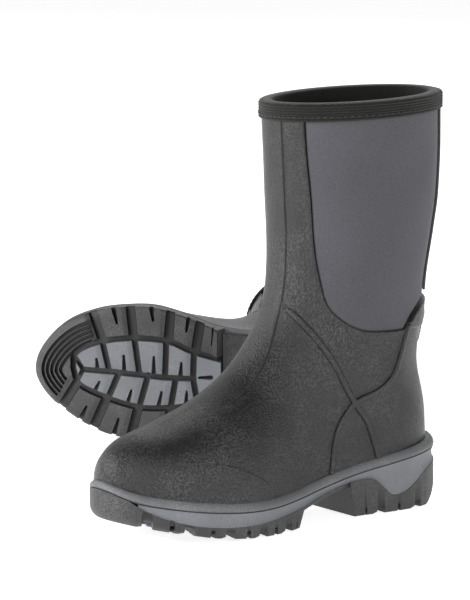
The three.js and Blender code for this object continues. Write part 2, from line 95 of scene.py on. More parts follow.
def grow(value, start, end):
    """0 before start, 1 after end, and an eased rise between them."""
    return ease(np.clip((value - start) / (end - start), 0, 1))


def curve_through(points):
    """A smooth curve y(x) through points in order of x, level beyond its ends."""
    xs, ys = np.array(points, float).T
    order = np.arange(len(xs))
    before = np.maximum(order - 1, 0)
    after = np.minimum(order + 1, len(xs) - 1)
    slopes = (ys[after] - ys[before]) / (xs[after] - xs[before])

    def value(x):
        place = np.clip(x, xs[0], xs[-1])
        i = np.clip(np.searchsorted(xs, place), 1, len(xs) - 1)
        span = xs[i] - xs[i - 1]
        u = (place - xs[i - 1]) / span
        rise = slopes[i - 1] * span * u * (1 - u) ** 2 - slopes[i] * span * u * u * (1 - u)
        return mix(ys[i - 1], ys[i], ease(u)) + rise

    return value


def round_end(distance, length):
    """Grows from 0 to 1 over the given length like a quarter of an ellipse."""
    rest = 1 - np.clip(distance / length, 0, 1)
    return np.sqrt(1 - rest * rest)


def hump(value, middle, spread):
    """1 in the middle, falling to nothing on both sides."""
    return np.exp(-(((value - middle) / spread) ** 2))


# Outline of the sole and heights along it
outer_edge = curve_through([
    [60, 37], [95, 34.5], [125, 37.5], [150, 43.5], [175, 50], [200, 53.6], [225, 51], [250, 45],
    [268, 40.5], [282, 38], [295, 34]])
inner_edge = curve_through([
    [60, 37], [95, 34.3], [125, 33], [150, 37.5], [175, 47], [200, 53.2], [225, 52.6], [250, 49],
    [268, 47], [282, 44], [295, 40]])
rim_top = curve_through([
    [0, 48], [40, 44], [80, 38.5], [120, 31.5], [150, 27], [180, 25], [268, 25], [282, 26.5], [295, 31]])
grey_edge = curve_through([
    [0, 32], [10, 31], [26, 26], [39, 18.4], [50, 13.2], [60, 13.2], [67, 19.5], [75, 26], [84, 27],
    [100, 25.5], [119, 22], [148, 14.6], [184, 10.6], [209, 10.6], [231, 12.4], [254, 17.5], [272, 25],
    [284, 34], [295, 46]])
back_line = curve_through([
    [47, 7], [72, 8.5], [104, 15], [130, 13.8], [150, 12], [173, 9.4], [205, 4], [228, 0], [260, -1.5],
    [310, -1.8]])


def edge_distance(x, side, inset):
    edge = np.where(np.asarray(side) > 0, outer_edge(x), inner_edge(x))
    return (edge - inset) * round_end(SOLE_LENGTH - inset - x, TOE_ROUND)


def sole_half_width(x, side, inset):
    return edge_distance(x, side, inset) * round_end(x - inset, HEEL_ROUND)


def toe_spring(x):
    return TOE_SPRING * (np.maximum(0, x - SPRING_START) / (SOLE_LENGTH - SPRING_START)) ** 2


def sole_top(x):
    return rim_top(x) + TOP_SPRING_SHARE * toe_spring(x)


def rim_bottom(x):
    return sole_top(x) - RIM_HEIGHT


def tread_top(x):
    return np.minimum(grey_edge(x), rim_bottom(x)) - GAP / 3


# Cuts across the upper, from the toe to the collar: foot and crest [x, z], widths and rounded lengths
BACK_CUT = 9
LAST_CUT = 14


def on_sole(x, crest, crest_round, crest_width=None):
    outer = float(edge_distance(min(x, NOSE_CUT), 1, RIM_LIP))
    inner = float(edge_distance(min(x, NOSE_CUT), -1, RIM_LIP))
    width = (outer + inner) / 2 if crest_width is None else crest_width
    return (x, float(sole_top(x)) + SEAT_GAP, *crest, outer, inner, width, crest_round, UPPER_BACK_ROUND)


def on_back(z, crest, crest_round, crest_width, width, rounding):
    return (float(back_line(z)), z, *crest, width, width, crest_width, crest_round, rounding)


CUTS = np.array([
    on_sole(UPPER_TIP, (UPPER_TIP, 54), 12),
    on_sole(NOSE_CUT, (285, 65), 19),
    on_sole(270, (268, 74), 33),
    on_sole(240, (240, 81), 46),
    on_sole(205, (205, 93), 60),
    on_sole(165, (176, 111), 70),
    on_sole(115, (158, 131), 72, 38),
    on_sole(60, (147, 150), 74, 40),
    on_sole(20, (141.5, 168), 80, 42),
    on_back(float(sole_top(UPPER_BACK)) + SEAT_GAP, (139.5, 184), 86, 43, 34.5, UPPER_BACK_ROUND),
    on_back(72, (139, 198), 88, 44, 35, 50),
    on_back(104, (139, 214), 82, 44.5, 38, 60),
    on_back(150, (140, 232), 76, 45.5, 42, 64),
    on_back(205, (141.5, 258), 74, 46.3, 45, 69),
    on_back(COLLAR_HEIGHT, (144, COLLAR_HEIGHT - 2), 72.9, 47.2, 47.2, 72.9),
])
CUT_CURVES = [curve_through(np.column_stack([np.arange(len(CUTS)), column])) for column in CUTS.T]


def upper_point(cut, turn, inset):
    """Points of the upper. cut runs from 0 at the toe to LAST_CUT at the collar, turn from -1 at the inner
    foot of the cut over 0 at its crest to 1 at the outer foot, and inset is the depth below the face."""
    foot_x, foot_z, crest_x, crest_z, outer, inner, crest_width, crest_round, back_round = (
        curve(cut) for curve in CUT_CURVES)

    def pull_back(x):
        return x - inset * grow(x, PULL_START, UPPER_TIP)

    pushed = foot_x + inset * (1 - grow(foot_x, UPPER_BACK, UPPER_BACK + PUSH_LENGTH))
    on_edge = cut <= BACK_CUT
    foot_x = np.where(on_edge, pull_back(pushed), back_line(foot_z) + inset)
    foot_z = np.where(on_edge, sole_top(foot_x) + SEAT_GAP, foot_z)
    crest_x = pull_back(crest_x)
    length = np.hypot(foot_x - crest_x, foot_z - crest_z)
    along_x = (foot_x - crest_x) / length
    along_z = (foot_z - crest_z) / length
    crest_x = crest_x + along_x * inset
    crest_z = crest_z + along_z * inset
    length = length - inset
    closed = grow(cut, BACK_CUT - 2, BACK_CUT - 1)
    side = np.abs(turn)
    depth = mix(1 - np.cos(side * math.pi / 2), (1 - np.cos(side * math.pi)) / 2, closed)
    place_x = crest_x + along_x * length * depth
    place_z = crest_z + along_z * length * depth
    foot_width = np.where(turn > 0, outer, inner)
    width = mix(crest_width, foot_width, ease(depth)) - inset * grow(cut, 0, 1)
    nose = round_end(UPPER_TIP - inset - place_x, TOE_ROUND) / round_end(UPPER_TIP - NOSE_CUT, TOE_ROUND)
    toe_end = np.where(cut < 1, np.minimum(nose, 1), 1)
    half = (
        np.maximum(width, 0)
        * round_end(length * depth, crest_round - inset)
        * round_end(place_x - back_line(place_z) - inset, back_round - inset)
        * toe_end)
    half = np.where((side == 1) & (cut >= BACK_CUT), 0, half)
    return np.stack([place_x, np.sign(turn) * half, place_z], axis=-1)


# Distances to outlines and paths
def smooth_path(points, steps=8):
    """A path rounded between its points, which it still passes through."""
    points = np.array(points, float)
    around = np.vstack([2 * points[:1] - points[1:2], points, 2 * points[-1:] - points[-2:-1]])
    u = np.linspace(0, 1, steps, endpoint=False)[:, None]
    pieces = []
    for p0, p1, p2, p3 in zip(around, around[1:], around[2:], around[3:]):
        bend = 2 * p1 + (p2 - p0) * u + (2 * p0 - 5 * p1 + 4 * p2 - p3) * u**2
        pieces.append((bend + (3 * p1 - p0 - 3 * p2 + p3) * u**3) / 2)
    return np.vstack([*pieces, points[-1:]])


def path_distance(points, path):
    """Distance of each point [., 2] from a path, positive on its left."""
    starts, ends = path[:-1], path[1:]
    along = ends - starts
    offset = points[:, None, :] - starts[None]
    share = np.clip((offset * along).sum(2) / (along * along).sum(1), 0, 1)
    gap = offset - share[..., None] * along
    square = (gap * gap).sum(2)
    nearest = square.argmin(1)
    rows = np.arange(len(points))
    left = along[nearest, 0] * offset[rows, nearest, 1] - along[nearest, 1] * offset[rows, nearest, 0]
    return np.sqrt(square[rows, nearest]) * np.where(left >= 0, 1, -1)


def inside_distance(points, outline):
    """Distance of each point [., 2] from a closed outline, positive inside it."""
    ring = np.vstack([outline, outline[:1]])
    distance = np.abs(path_distance(points, ring))
    x, y = points[:, :1], points[:, 1:]
    x0, y0 = ring[:-1].T
    x1, y1 = ring[1:].T
    spans = (y0 > y) != (y1 > y)
    rise = np.where(y1 == y0, 1, y1 - y0)
    crossings = spans & (x < x0 + (y - y0) * (x1 - x0) / rise)
    return np.where(crossings.sum(1) % 2 == 1, distance, -distance)


# Sheets: surfaces that are cut along lines and then thickened
SNAP = 1e-3


def grid_triangles(number):
    """Two triangles in each cell of a grid of point numbers."""
    a, b, c, d = number[:-1, :-1], number[:-1, 1:], number[1:, 1:], number[1:, :-1]
    return np.vstack([np.stack(corners, -1).reshape(-1, 3) for corners in ((a, b, c), (a, c, d))])


class Sheet:
    """A sheet of triangles. Each point has a place, its move for 1 mm of depth, and named measures."""

    def __init__(self, place, inward, triangles, measures):
        self.place = place
        self.inward = inward
        self.triangles = triangles
        self.measures = measures

    def cut(self, name, *levels, near=lambda place: np.ones(len(place), bool)):
        """Puts edges where a measure has these levels, only between points that are near."""
        sheet = self
        for level in levels:
            sheet = sheet.cut_once(name, level, near(sheet.place))
        return sheet

    def cut_once(self, name, level, near):
        value = self.measures[name] - level
        value = np.where(np.abs(value) < SNAP, 0, value)
        tri = self.triangles
        count = len(self.place)
        start, end = tri, np.roll(tri, -1, axis=1)
        crossed = (value[start] * value[end] < 0) & near[start] & near[end]
        key = np.minimum(start, end) * count + np.maximum(start, end)
        keys = np.unique(key[crossed])
        a, b = keys // count, keys % count
        share = value[a] / (value[a] - value[b])
        middle = np.where(crossed, count + np.searchsorted(keys, key), -1)

        def extended(values):
            step = share if values.ndim == 1 else share[:, None]
            return np.concatenate([values, mix(values[a], values[b], step)])

        measures = {other: extended(values) for other, values in self.measures.items()}
        measures[name][count:] = level
        parts = [tri[crossed.sum(1) == 0]]
        for k in range(3):
            k1, k2 = (k + 1) % 3, (k + 2) % 3
            one = (crossed.sum(1) == 1) & crossed[:, k]
            p, q, r, m = tri[one, k], tri[one, k1], tri[one, k2], middle[one, k]
            parts += [np.column_stack([p, m, r]), np.column_stack([m, q, r])]
            two = (crossed.sum(1) == 2) & ~crossed[:, k]
            p, q, r = tri[two, k], tri[two, k1], tri[two, k2]
            m, n = middle[two, k1], middle[two, k2]
            parts += [np.column_stack([p, q, m]), np.column_stack([p, m, n]), np.column_stack([n, m, r])]
        return Sheet(extended(self.place), extended(self.inward), np.vstack(parts), measures)

    def keep(self, name, low=-math.inf, high=math.inf):
        """Only the triangles where a measure lies between two levels that the sheet was cut at."""
        value = self.measures[name][self.triangles]
        middle = value.mean(1)
        return self.only((middle > low) & (middle < high))

    def only(self, chosen):
        triangles = self.triangles[chosen]
        used, places = np.unique(triangles, return_inverse=True)
        measures = {name: values[used] for name, values in self.measures.items()}
        return Sheet(self.place[used], self.inward[used], places.reshape(-1, 3), measures)


def solid_between(sheet, outer, inner):
    """The closed solid between two depths below a sheet, as points and triangles."""
    count = len(sheet.place)
    points = np.vstack([
        sheet.place + sheet.inward * np.broadcast_to(outer, count)[:, None],
        sheet.place + sheet.inward * np.broadcast_to(inner, count)[:, None]])
    tri = sheet.triangles
    start, end = tri.ravel(), np.roll(tri, -1, axis=1).ravel()
    rim = ~np.isin(start * count + end, end * count + start)
    a, b = start[rim], end[rim]
    walls = [np.column_stack([b, a, a + count]), np.column_stack([b, a + count, b + count])]
    return points, np.vstack([tri, tri[:, ::-1] + count, *walls])


def swept(rows, closed):
    """The closed solid through rows [around, profile, 3] whose profiles are closed loops."""
    around, profile = rows.shape[:2]
    number = np.arange(around * profile).reshape(around, profile)
    number = np.hstack([number, number[:, :1]])
    points = rows.reshape(-1, 3)
    if closed:
        return points, grid_triangles(np.vstack([number, number[:1]]))
    first, last = np.full(profile, len(points)), np.full(profile, len(points) + 1)
    points = np.vstack([points, rows[0].mean(0), rows[-1].mean(0)])
    start_cap = np.column_stack([number[0, :-1], first, number[0, 1:]])
    end_cap = np.column_stack([number[-1, 1:], last, number[-1, :-1]])
    return points, np.vstack([grid_triangles(number), start_cap, end_cap])


# Objects
def side_matrices():
    turn = math.radians
    centre = Matrix.Translation(CENTRE)
    left = centre @ Matrix.Rotation(turn(LEFT_TURN), 4, "Z")
    lying = Matrix.Translation(RIGHT_HEEL) @ Matrix.Rotation(math.pi, 4, "Z")
    mirror = Matrix.Diagonal((1, -1, 1, 1))
    right = centre @ lying @ Matrix.Rotation(turn(90 + RIGHT_TILT), 4, "X") @ mirror
    return {"left": np.array(left), "right": np.array(right)}


SIDES = side_matrices()
SHARP_ANGLE = math.radians(38)


def signed_volume(points, triangles):
    a, b, c = (points[triangles[:, k]] for k in range(3))
    return (a * np.cross(b, c)).sum()


def mesh_from(name, points, triangles, local, shade):
    mesh = bpy.data.meshes.new(name)
    mesh.vertices.add(len(points))
    mesh.vertices.foreach_set("co", points.astype(np.float32).ravel())
    mesh.loops.add(triangles.size)
    mesh.loops.foreach_set("vertex_index", triangles.astype(np.int32).ravel())
    mesh.polygons.add(len(triangles))
    mesh.polygons.foreach_set("loop_start", np.arange(0, triangles.size, 3, dtype=np.int32))
    mesh.update(calc_edges=True)
    mesh.validate()
    mesh.polygons.foreach_set("use_smooth", np.ones(len(mesh.polygons), bool))
    mesh.set_sharp_from_angle(angle=SHARP_ANGLE)
    # The second attribute is painted shade, from 0 to 1: how far each point's colour is darkened in
    # crevices, seams, grooves and hidden sides.
    for label, kind, field, values in (
            ("local", "FLOAT_VECTOR", "vector", local), ("painted_shade", "FLOAT", "value", shade)):
        attribute = mesh.attributes.new(label, kind, "POINT")
        attribute.data.foreach_set(field, values.astype(np.float32).ravel())
    return mesh


def face_shade(painted_face_shade, below=1.0):
    """Painted shade for a thickened sheet: the shade painted on its face, where it has crevices, then one
    value for its other side.
    """
    return np.concatenate([painted_face_shade, np.full(len(painted_face_shade), below)])


def add_object(name, data):
    thing = bpy.data.objects.new(name, data)
    bpy.context.scene.collection.objects.link(thing)
    return thing


def aim(thing, place, target):
    """Puts a lamp or a camera at a place, looking at a target."""
    thing.location = place
    thing.rotation_euler = (Vector(target) - Vector(place)).to_track_quat("-Z", "Y").to_euler()


def add_pieces(name, solids, material, painted_shade=0.0, replaced=True):
    """One piece on each boot, from one or more solids [points, triangles]. The argument after the material
    is painted
    shade that darkens it: a number, or one for each point. The piece stands for the CAD node of its own
    name."""
    starts = np.cumsum([0] + [len(points) for points, _ in solids])
    points = np.vstack([points for points, _ in solids])
    triangles = np.vstack([tri + start for (_, tri), start in zip(solids, starts)])
    if signed_volume(points, triangles) < 0:
        triangles = triangles[:, ::-1]
    shade = np.broadcast_to(painted_shade, len(points))
    made = []
    for side, matrix in SIDES.items():
        placed = (points @ matrix[:3, :3].T + matrix[:3, 3]) * MM
        facing = triangles if np.linalg.det(matrix[:3, :3]) > 0 else triangles[:, ::-1]
        piece_name = f"{side}_{name}"
        mesh = mesh_from(piece_name + "_skin", placed, facing, points * MM, shade)
        mesh.materials.append(material)
        piece = add_object(piece_name + "_skin", mesh)
        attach(piece, f"{side}_boot")
        if replaced:
            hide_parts(piece_name)
        made.append(piece)
    return made


# Materials
class Shader:
    """A short way to write a node material round one principled shader. Settings are its own sockets."""

    def __init__(self, name, roughness=0.5, **settings):
        self.material = bpy.data.materials.new(name)
        self.material.use_nodes = True
        self.nodes = self.material.node_tree.nodes
        self.links = self.material.node_tree.links
        self.shader = self.nodes["Principled BSDF"]
        self.shader.inputs["Roughness"].default_value = roughness
        for socket, value in settings.items():
            label = socket.replace("_", " ").title().replace("Ior", "IOR")
            self.shader.inputs[label].default_value = value

    def node(self, kind, inputs=(), **settings):
        node = self.nodes.new(kind)
        for key, value in settings.items():
            setattr(node, key, value)
        for socket, value in dict(inputs).items():
            if isinstance(value, bpy.types.NodeSocket):
                self.links.new(value, node.inputs[socket])
            else:
                node.inputs[socket].default_value = value
        return node

    def place(self, stretch=(1, 1, 1)):
        local = self.node("ShaderNodeAttribute", attribute_name="local")
        mapping = self.node("ShaderNodeMapping", {"Vector": local.outputs["Vector"], "Scale": stretch})
        return mapping.outputs["Vector"]

    def object_place(self):
        """For an object that has no place of its own in the boot's frame."""
        return self.node("ShaderNodeTexCoord").outputs["Object"]

    # How much painted shade darkens each point, from 0 to 1.
    def painted_shade(self):
        return self.node("ShaderNodeAttribute", attribute_name="painted_shade").outputs["Fac"]

    def noise(self, vector, scale, detail=3.0):
        inputs = {"Vector": vector, "Scale": scale, "Detail": detail}
        return self.node("ShaderNodeTexNoise", inputs).outputs["Fac"]

    def waves(self, vector, period, direction):
        inputs = {"Vector": vector, "Scale": math.pi / (10 * period * MM), "Distortion": 0.4}
        return self.node("ShaderNodeTexWave", inputs, bands_direction=direction).outputs["Fac"]

    def spread(self, value, low, high, start=0.0, end=1.0):
        inputs = {"Value": value, "From Min": start, "From Max": end, "To Min": low, "To Max": high}
        return self.node("ShaderNodeMapRange", inputs).outputs["Result"]

    def times(self, a, b):
        return self.node("ShaderNodeMath", {0: a, 1: b}, operation="MULTIPLY").outputs[0]

    def plus(self, a, b):
        return self.node("ShaderNodeMath", {0: a, 1: b}, operation="ADD").outputs[0]

    def colours(self, share, low, high):
        low, high = (
            colour if isinstance(colour, bpy.types.NodeSocket) else (*colour, 1) for colour in (low, high))
        return self.node("ShaderNodeMix", {0: share, 6: low, 7: high}, data_type="RGBA").outputs[2]

    def shade_crevices(self, colour, dark, left):
        """Paints shade into the crevices: darkens the colour, by each point's painted shade, to a share that
        is left of the dark colour.
        """
        return self.colours(self.painted_shade(), colour, tuple(left * part for part in dark))

    def finish(self, colour, height, strength, distance, roughness=None):
        inputs = {"Height": height, "Strength": strength, "Distance": distance * MM}
        bump = self.node("ShaderNodeBump", inputs)
        self.links.new(colour, self.shader.inputs["Base Color"])
        self.links.new(bump.outputs["Normal"], self.shader.inputs["Normal"])
        if roughness is not None:
            self.links.new(roughness, self.shader.inputs["Roughness"])
        return self.material


def moulded_rubber(name, dark, light, grain_size, relief, rough, specular):
    """Rubber with a pebbled skin, cloudy wear and painted shade in its crevices."""
    shader = Shader(name, specular_ior_level=specular)
    place = shader.place()
    grain = shader.noise(place, 1 / (grain_size * MM), 4)
    fine = shader.noise(place, 3 / (grain_size * MM), 2)
    clouds = shader.noise(place, 30, 5)
    speckle = shader.spread(grain, 0, 1, 0.42, 0.66)
    wear = shader.times(shader.spread(clouds, 0.1, 1, 0.36, 0.66), speckle)
    # Painted shade darkens the colour at seams, grooves and hidden sides, as each point carries it.
    colour = shader.shade_crevices(shader.colours(wear, dark, light), dark, 0.15)
    height = shader.plus(grain, shader.times(fine, 0.4))
    roughness = shader.spread(clouds, *rough, 0.3, 0.7)
    return shader.finish(colour, height, relief, 0.5, roughness)


def knitted_neoprene(name, dark, light, period, relief):
    """Fine knit over foam, with a slight heather and sheen."""
    shader = Shader(name, roughness=0.85, sheen_weight=0.12, sheen_roughness=0.5, specular_ior_level=0.2)
    place = shader.place()
    courses = shader.waves(place, period, "Z")
    loops = shader.noise(shader.place((1, 1, 0.4)), 1.6 / (period * MM), 2)
    knit = shader.times(courses, loops)
    heather = shader.noise(place, 900, 3)
    clouds = shader.noise(place, 18, 3)
    shade = shader.plus(shader.times(heather, 0.75), shader.times(knit, 0.2))
    colour = shader.colours(shader.plus(shade, shader.spread(clouds, -0.15, 0.15)), dark, light)
    # Painted shade darkens the colour where each point carries it, as along the panels' seam.
    return shader.finish(shader.shade_crevices(colour, dark, 0.2), shader.plus(knit, heather), relief, 0.35)


def woven_webbing(name, dark, light):
    """Ribbed polyester tape: cords along it, crossed by fine weft."""
    shader = Shader(name, roughness=0.8, sheen_weight=0.12, specular_ior_level=0.2)
    place = shader.place()
    weft = shader.waves(place, 1.1, "DIAGONAL")
    fuzz = shader.noise(place, 1500, 3)
    clouds = shader.noise(place, 60, 2)
    colour = shader.colours(shader.times(fuzz, shader.spread(clouds, 0.5, 1.3)), dark, light)
    # Painted shade darkens the colour where each point carries it, as between the ribs.
    return shader.finish(shader.shade_crevices(colour, dark, 0.2), shader.plus(weft, fuzz), 0.5, 0.3)


def twisted_thread(name):
    """Round thread with its twist showing as slanting bands."""
    shader = Shader(name, roughness=0.6, specular_ior_level=0.4)
    place = shader.place()
    twist = shader.waves(place, 0.8, "DIAGONAL")
    fibre = shader.noise(place, 3000, 2)
    colour = shader.colours(shader.times(twist, fibre), (0.012, 0.012, 0.011), (0.07, 0.07, 0.062))
    return shader.finish(colour, twist, 0.4, 0.2)


def fibre_board(name):
    """Pressed fibre board of the insole."""
    shader = Shader(name, roughness=0.8)
    place = shader.object_place()
    fibres = shader.noise(place, 700, 6)
    flecks = shader.noise(place, 2200, 2)
    colour = shader.colours(shader.times(fibres, flecks), (0.16, 0.11, 0.065), (0.42, 0.33, 0.22))
    return shader.finish(colour, fibres, 0.4, 0.4)


def brushed_steel(name):
    """Plain steel with fine scratches."""
    shader = Shader(name, metallic=1.0)
    place = shader.object_place()
    scratches = shader.noise(place, 1800, 5)
    clouds = shader.noise(place, 90, 2)
    colour = shader.colours(clouds, (0.34, 0.35, 0.36), (0.55, 0.56, 0.57))
    roughness = shader.spread(scratches, 0.25, 0.5)
    return shader.finish(colour, scratches, 0.3, 0.1, roughness)


SHELL = moulded_rubber(
    "shell_rubber", (0.004, 0.004, 0.0042), (0.05, 0.05, 0.051), 1.5, 1.4, (0.3, 0.46), 0.42)
OVERLAY = moulded_rubber(
    "overlay_rubber", (0.004, 0.004, 0.0042), (0.047, 0.047, 0.048), 1.5, 1.3, (0.29, 0.45), 0.42)
TREAD = moulded_rubber(
    "tread_rubber", (0.02, 0.02, 0.02), (0.1, 0.1, 0.1), 0.9, 0.5, (0.42, 0.6), 0.45)
GREY = moulded_rubber(
    "grey_rubber", (0.125, 0.131, 0.142), (0.205, 0.214, 0.23), 0.8, 0.25, (0.48, 0.62), 0.35)
RIM = moulded_rubber(
    "rim_rubber", (0.09, 0.092, 0.096), (0.185, 0.19, 0.196), 0.8, 0.25, (0.45, 0.58), 0.35)
PANEL = knitted_neoprene("panel_knit", (0.038, 0.037, 0.042), (0.104, 0.101, 0.115), 0.9, 0.4)
LINING = knitted_neoprene("lining_knit", (0.003, 0.003, 0.003), (0.013, 0.013, 0.013), 1.6, 0.6)
FOAM = knitted_neoprene("footbed_cover", (0.006, 0.006, 0.006), (0.025, 0.025, 0.026), 1.4, 0.5)
WEBBING = woven_webbing("binding_webbing", (0.003, 0.003, 0.0026), (0.022, 0.022, 0.019))
THREAD = twisted_thread("binding_thread")
BOARD = fibre_board("insole_fibre_board")
STEEL = brushed_steel("shank_brushed_steel")


# The upper
PANEL_EDGE = np.vstack([
    [[133, 400]],
    smooth_path([
        [132.7, 297], [130.5, 265], [128, 237], [125.6, 204], [122, 178], [117.4, 158], [108, 147],
        [94.4, 139], [77, 135.5], [48.7, 134]]),
    smooth_path([[48, 134.2], [40, 143], [27, 151], [5, 157]]),
    [[-30, 158], [-30, 400]]])
KICK_TAB = np.vstack([
    smooth_path([[48, 133.6], [39.4, 142.4], [26.6, 150.4], [5, 156.4]]),
    [[-30, 157.4], [-30, 131], [20, 131.5]]])
FRONT_BAND = smooth_path([
    [139, 153], [118.3, 123], [103.5, 98.3], [93.8, 84], [80.9, 68], [70, 40], [68, 30]])
REAR_BAND = smooth_path([
    [41, 141], [52, 115.5], [61, 99], [74, 90], [93.8, 84], [105, 70.2], [109.5, 57], [112, 34],
    [112.5, 24]])
TOE_CAP = np.vstack([
    smooth_path([
        [171, 20], [179, 36.8], [194, 46.4], [210, 53.5], [230, 57.5], [248, 60.5], [262, 67], [270, 78],
        [272, 95]]),
    [[400, 95], [400, 0], [171, 0]]])
shin_strip_width = curve_through([[100, 10.2], [142, 11], [158, 16], [176, 19], [196, 17], [208, 0.8]])
SHIN_STRIP_BACK = 98
STRIP_TOP = COLLAR_HEIGHT - 10
SHIN_STRIP_BOTTOM = 60
FAR_OFF = -9
STAY_DEPTH = 8
STAY_BOTTOM = 158
BAND_HALF = 2.6
BAND_CLEAR = 11.5
BAND_LEVELS = (-1, -0.75, -0.35, 0.35, 0.75, 1)
BAND_PANEL_GAP = 0.6
DENTS = 0.22
INSTEP_DENTS = 0.5
LEAST_AREA = 1e-3
SLOPE_LIMITS = (0.3, 1.5)


def unevenness(place):
    """Soft dents of the rubber, in millimetres of depth."""
    x, y, z = place.T
    waves = np.sin(x / 13 + z / 21) * np.sin(y / 12 + z / 17) + 0.6 * np.sin(z / 9 + y / 15 + x / 31)
    instep = hump(x, 125, 45) * hump(z, 105, 30)
    return (DENTS + INSTEP_DENTS * instep) * waves


def surface_distance(values, tangents):
    """Turns a measure on the grid into distance along the surface, by the length of its gradient."""
    down, across = np.gradient(values)
    row, column = tangents
    e, f, g = (row * row).sum(2), (row * column).sum(2), (column * column).sum(2)
    area = np.maximum(e * g - f * f, LEAST_AREA)
    slope = np.sqrt(np.maximum(g * down**2 - 2 * f * down * across + e * across**2, 0) / area)
    return values / np.clip(slope, *SLOPE_LIMITS)


def upper_rows():
    """Where the rows of the upper's mesh lie, from the toe to the collar."""
    cuts = [0.0]
    for cut in range(LAST_CUT):
        ends = upper_point(np.array([[cut], [cut + 1]], float), np.array([[-0.5, 0, 0.5, 1]]), 0.0)
        rows = math.ceil(np.linalg.norm(ends[1] - ends[0], axis=1).max() / SKIN_STEP)
        share = np.arange(1, rows + 1) / rows
        cuts += list(cut + (share**2 if cut == 0 else share))
    return np.array(cuts)


def upper_measures(face):
    """The measures that the pieces are cut along: distances on the face, the side and the height."""
    flat = face.reshape(-1, 3)
    side_view = flat[:, [0, 2]]
    x, y, z = flat.T
    fields = {
        "panel": inside_distance(side_view, PANEL_EDGE),
        "toe_cap": inside_distance(side_view, TOE_CAP),
        "kick_tab": inside_distance(side_view, KICK_TAB),
        "front_band": path_distance(side_view, FRONT_BAND),
        "rear_band": path_distance(side_view, REAR_BAND),
        "strip": shin_strip_width(x) - np.abs(y),
        "stay": back_line(z) + STAY_DEPTH - x,
    }
    tangents = np.gradient(face, axis=(0, 1))
    measures = {
        name: surface_distance(values.reshape(face.shape[:2]), tangents).ravel()
        for name, values in fields.items()}
    on_shin = (x > SHIN_STRIP_BACK) & (z > SHIN_STRIP_BOTTOM)
    measures["strip"] = np.where(on_shin, measures["strip"], FAR_OFF)
    measures["side"] = y
    measures["height"] = z
    return measures


def upper_triangles(cuts):
    """The mesh of the upper. Its two feet are joined at the back, and its first row closes on itself."""
    middle = SKIN_COLUMNS // 2
    number = np.arange(len(cuts) * (SKIN_COLUMNS + 1)).reshape(len(cuts), -1)
    closed = cuts >= BACK_CUT
    number[closed, -1] = number[closed, 0]
    number[0, middle + 1:] = number[0, :middle][::-1]
    return grid_triangles(number)


def upper_sheet(depth):
    """The whole face of the upper at a depth."""
    cuts = upper_rows()
    turns = np.linspace(-1, 1, SKIN_COLUMNS + 1)
    turns[SKIN_COLUMNS // 2] = 0
    cut, turn = np.meshgrid(cuts, turns, indexing="ij")
    face = upper_point(cut, turn, depth)
    inward = (upper_point(cut, turn, depth + 1.0) - face).reshape(-1, 3)
    flat = face.reshape(-1, 3)
    triangles = upper_triangles(cuts)
    dented = flat + inward * unevenness(flat)[:, None]
    has_area = (triangles != np.roll(triangles, 1, axis=1)).all(axis=1)
    return Sheet(dented, inward, triangles, upper_measures(face)).only(has_area)


EDGE_ROUND = 1.2
EDGE_DROP = 1.5
LIP_HEIGHT = 0.45
LIP_WIDTH = 6
PANEL_SINK = 0.75
PANEL_ROUND = 1.8
PANEL_TUCK = 1.1
SHELL_SEAM_SHADE = 0.8
SHELL_SEAM_SHADE_WIDTH = 0.7
PANEL_SEAM_SHADE = 0.9
PANEL_SEAM_SHADE_WIDTH = 1.3


def rubber_shell(face):
    """The rubber foot and shaft, with a rounded, slightly raised edge round the neoprene panels, and painted
    shade along that edge.
    """
    shell = face.cut("panel", 0, -0.5, -EDGE_ROUND, -LIP_WIDTH / 2).keep("panel", high=0)
    from_edge = -shell.measures["panel"]
    lip = LIP_HEIGHT * (1 - grow(from_edge, EDGE_ROUND, LIP_WIDTH))
    depth = EDGE_DROP * (1 - round_end(from_edge, EDGE_ROUND)) - lip
    # Painted shade along the seam with the neoprene panels.
    painted_face_shade = SHELL_SEAM_SHADE * (1 - grow(from_edge, 0, SHELL_SEAM_SHADE_WIDTH))
    solid = solid_between(shell, depth, SHELL_THICKNESS)
    add_pieces("rubber_shell", [solid], SHELL, face_shade(painted_face_shade))


def panels(face):
    """The two neoprene panels, sunk a little into the rubber with a crevice along the seam, and painted
    shade in that crevice.
    """
    window = face.cut("panel", 0, 0.7, PANEL_ROUND, 4).keep("panel", low=0)
    for name, low, high in (("outer_panel", 0, math.inf), ("inner_panel", -math.inf, 0)):
        panel = window.keep("side", low, high)
        from_edge = panel.measures["panel"]
        depth = PANEL_SINK + PANEL_TUCK * (1 - round_end(from_edge, PANEL_ROUND))
        # Painted shade in the crevice along the seam.
        painted_face_shade = PANEL_SEAM_SHADE * (1 - grow(from_edge, 0, PANEL_SEAM_SHADE_WIDTH))
        solid = solid_between(panel, depth, SHELL_THICKNESS)
        add_pieces(name, [solid], PANEL, face_shade(painted_face_shade))


LEAST_RAISE = 0.08
OVERLAY_SEAT = 0.25
OVERLAY_EDGE_SHADE = 0.85
TOE_CAP_FADE = (200, 238)
STRIP_FADE = (168, 200)
SPUR_HEIGHT = 1.2


def raised(name, region, measure, raise_by, bevel, extra=0.0, strength=1.0):
    """A strip laid over the shell, with a rounded edge and painted shade along it. It sinks into the shell
    where its strength falls.
    """
    from_edge = region.measures[measure]
    height = np.maximum(raise_by * strength, LEAST_RAISE)
    depth = -height * round_end(from_edge, bevel) - extra
    # Painted shade along the strip's edge, fading with its strength.
    painted_face_shade = OVERLAY_EDGE_SHADE * strength * (1 - grow(from_edge, 0, 0.5 * bevel))
    solid = solid_between(region, depth, OVERLAY_SEAT)
    add_pieces(name, [solid], OVERLAY, face_shade(painted_face_shade))


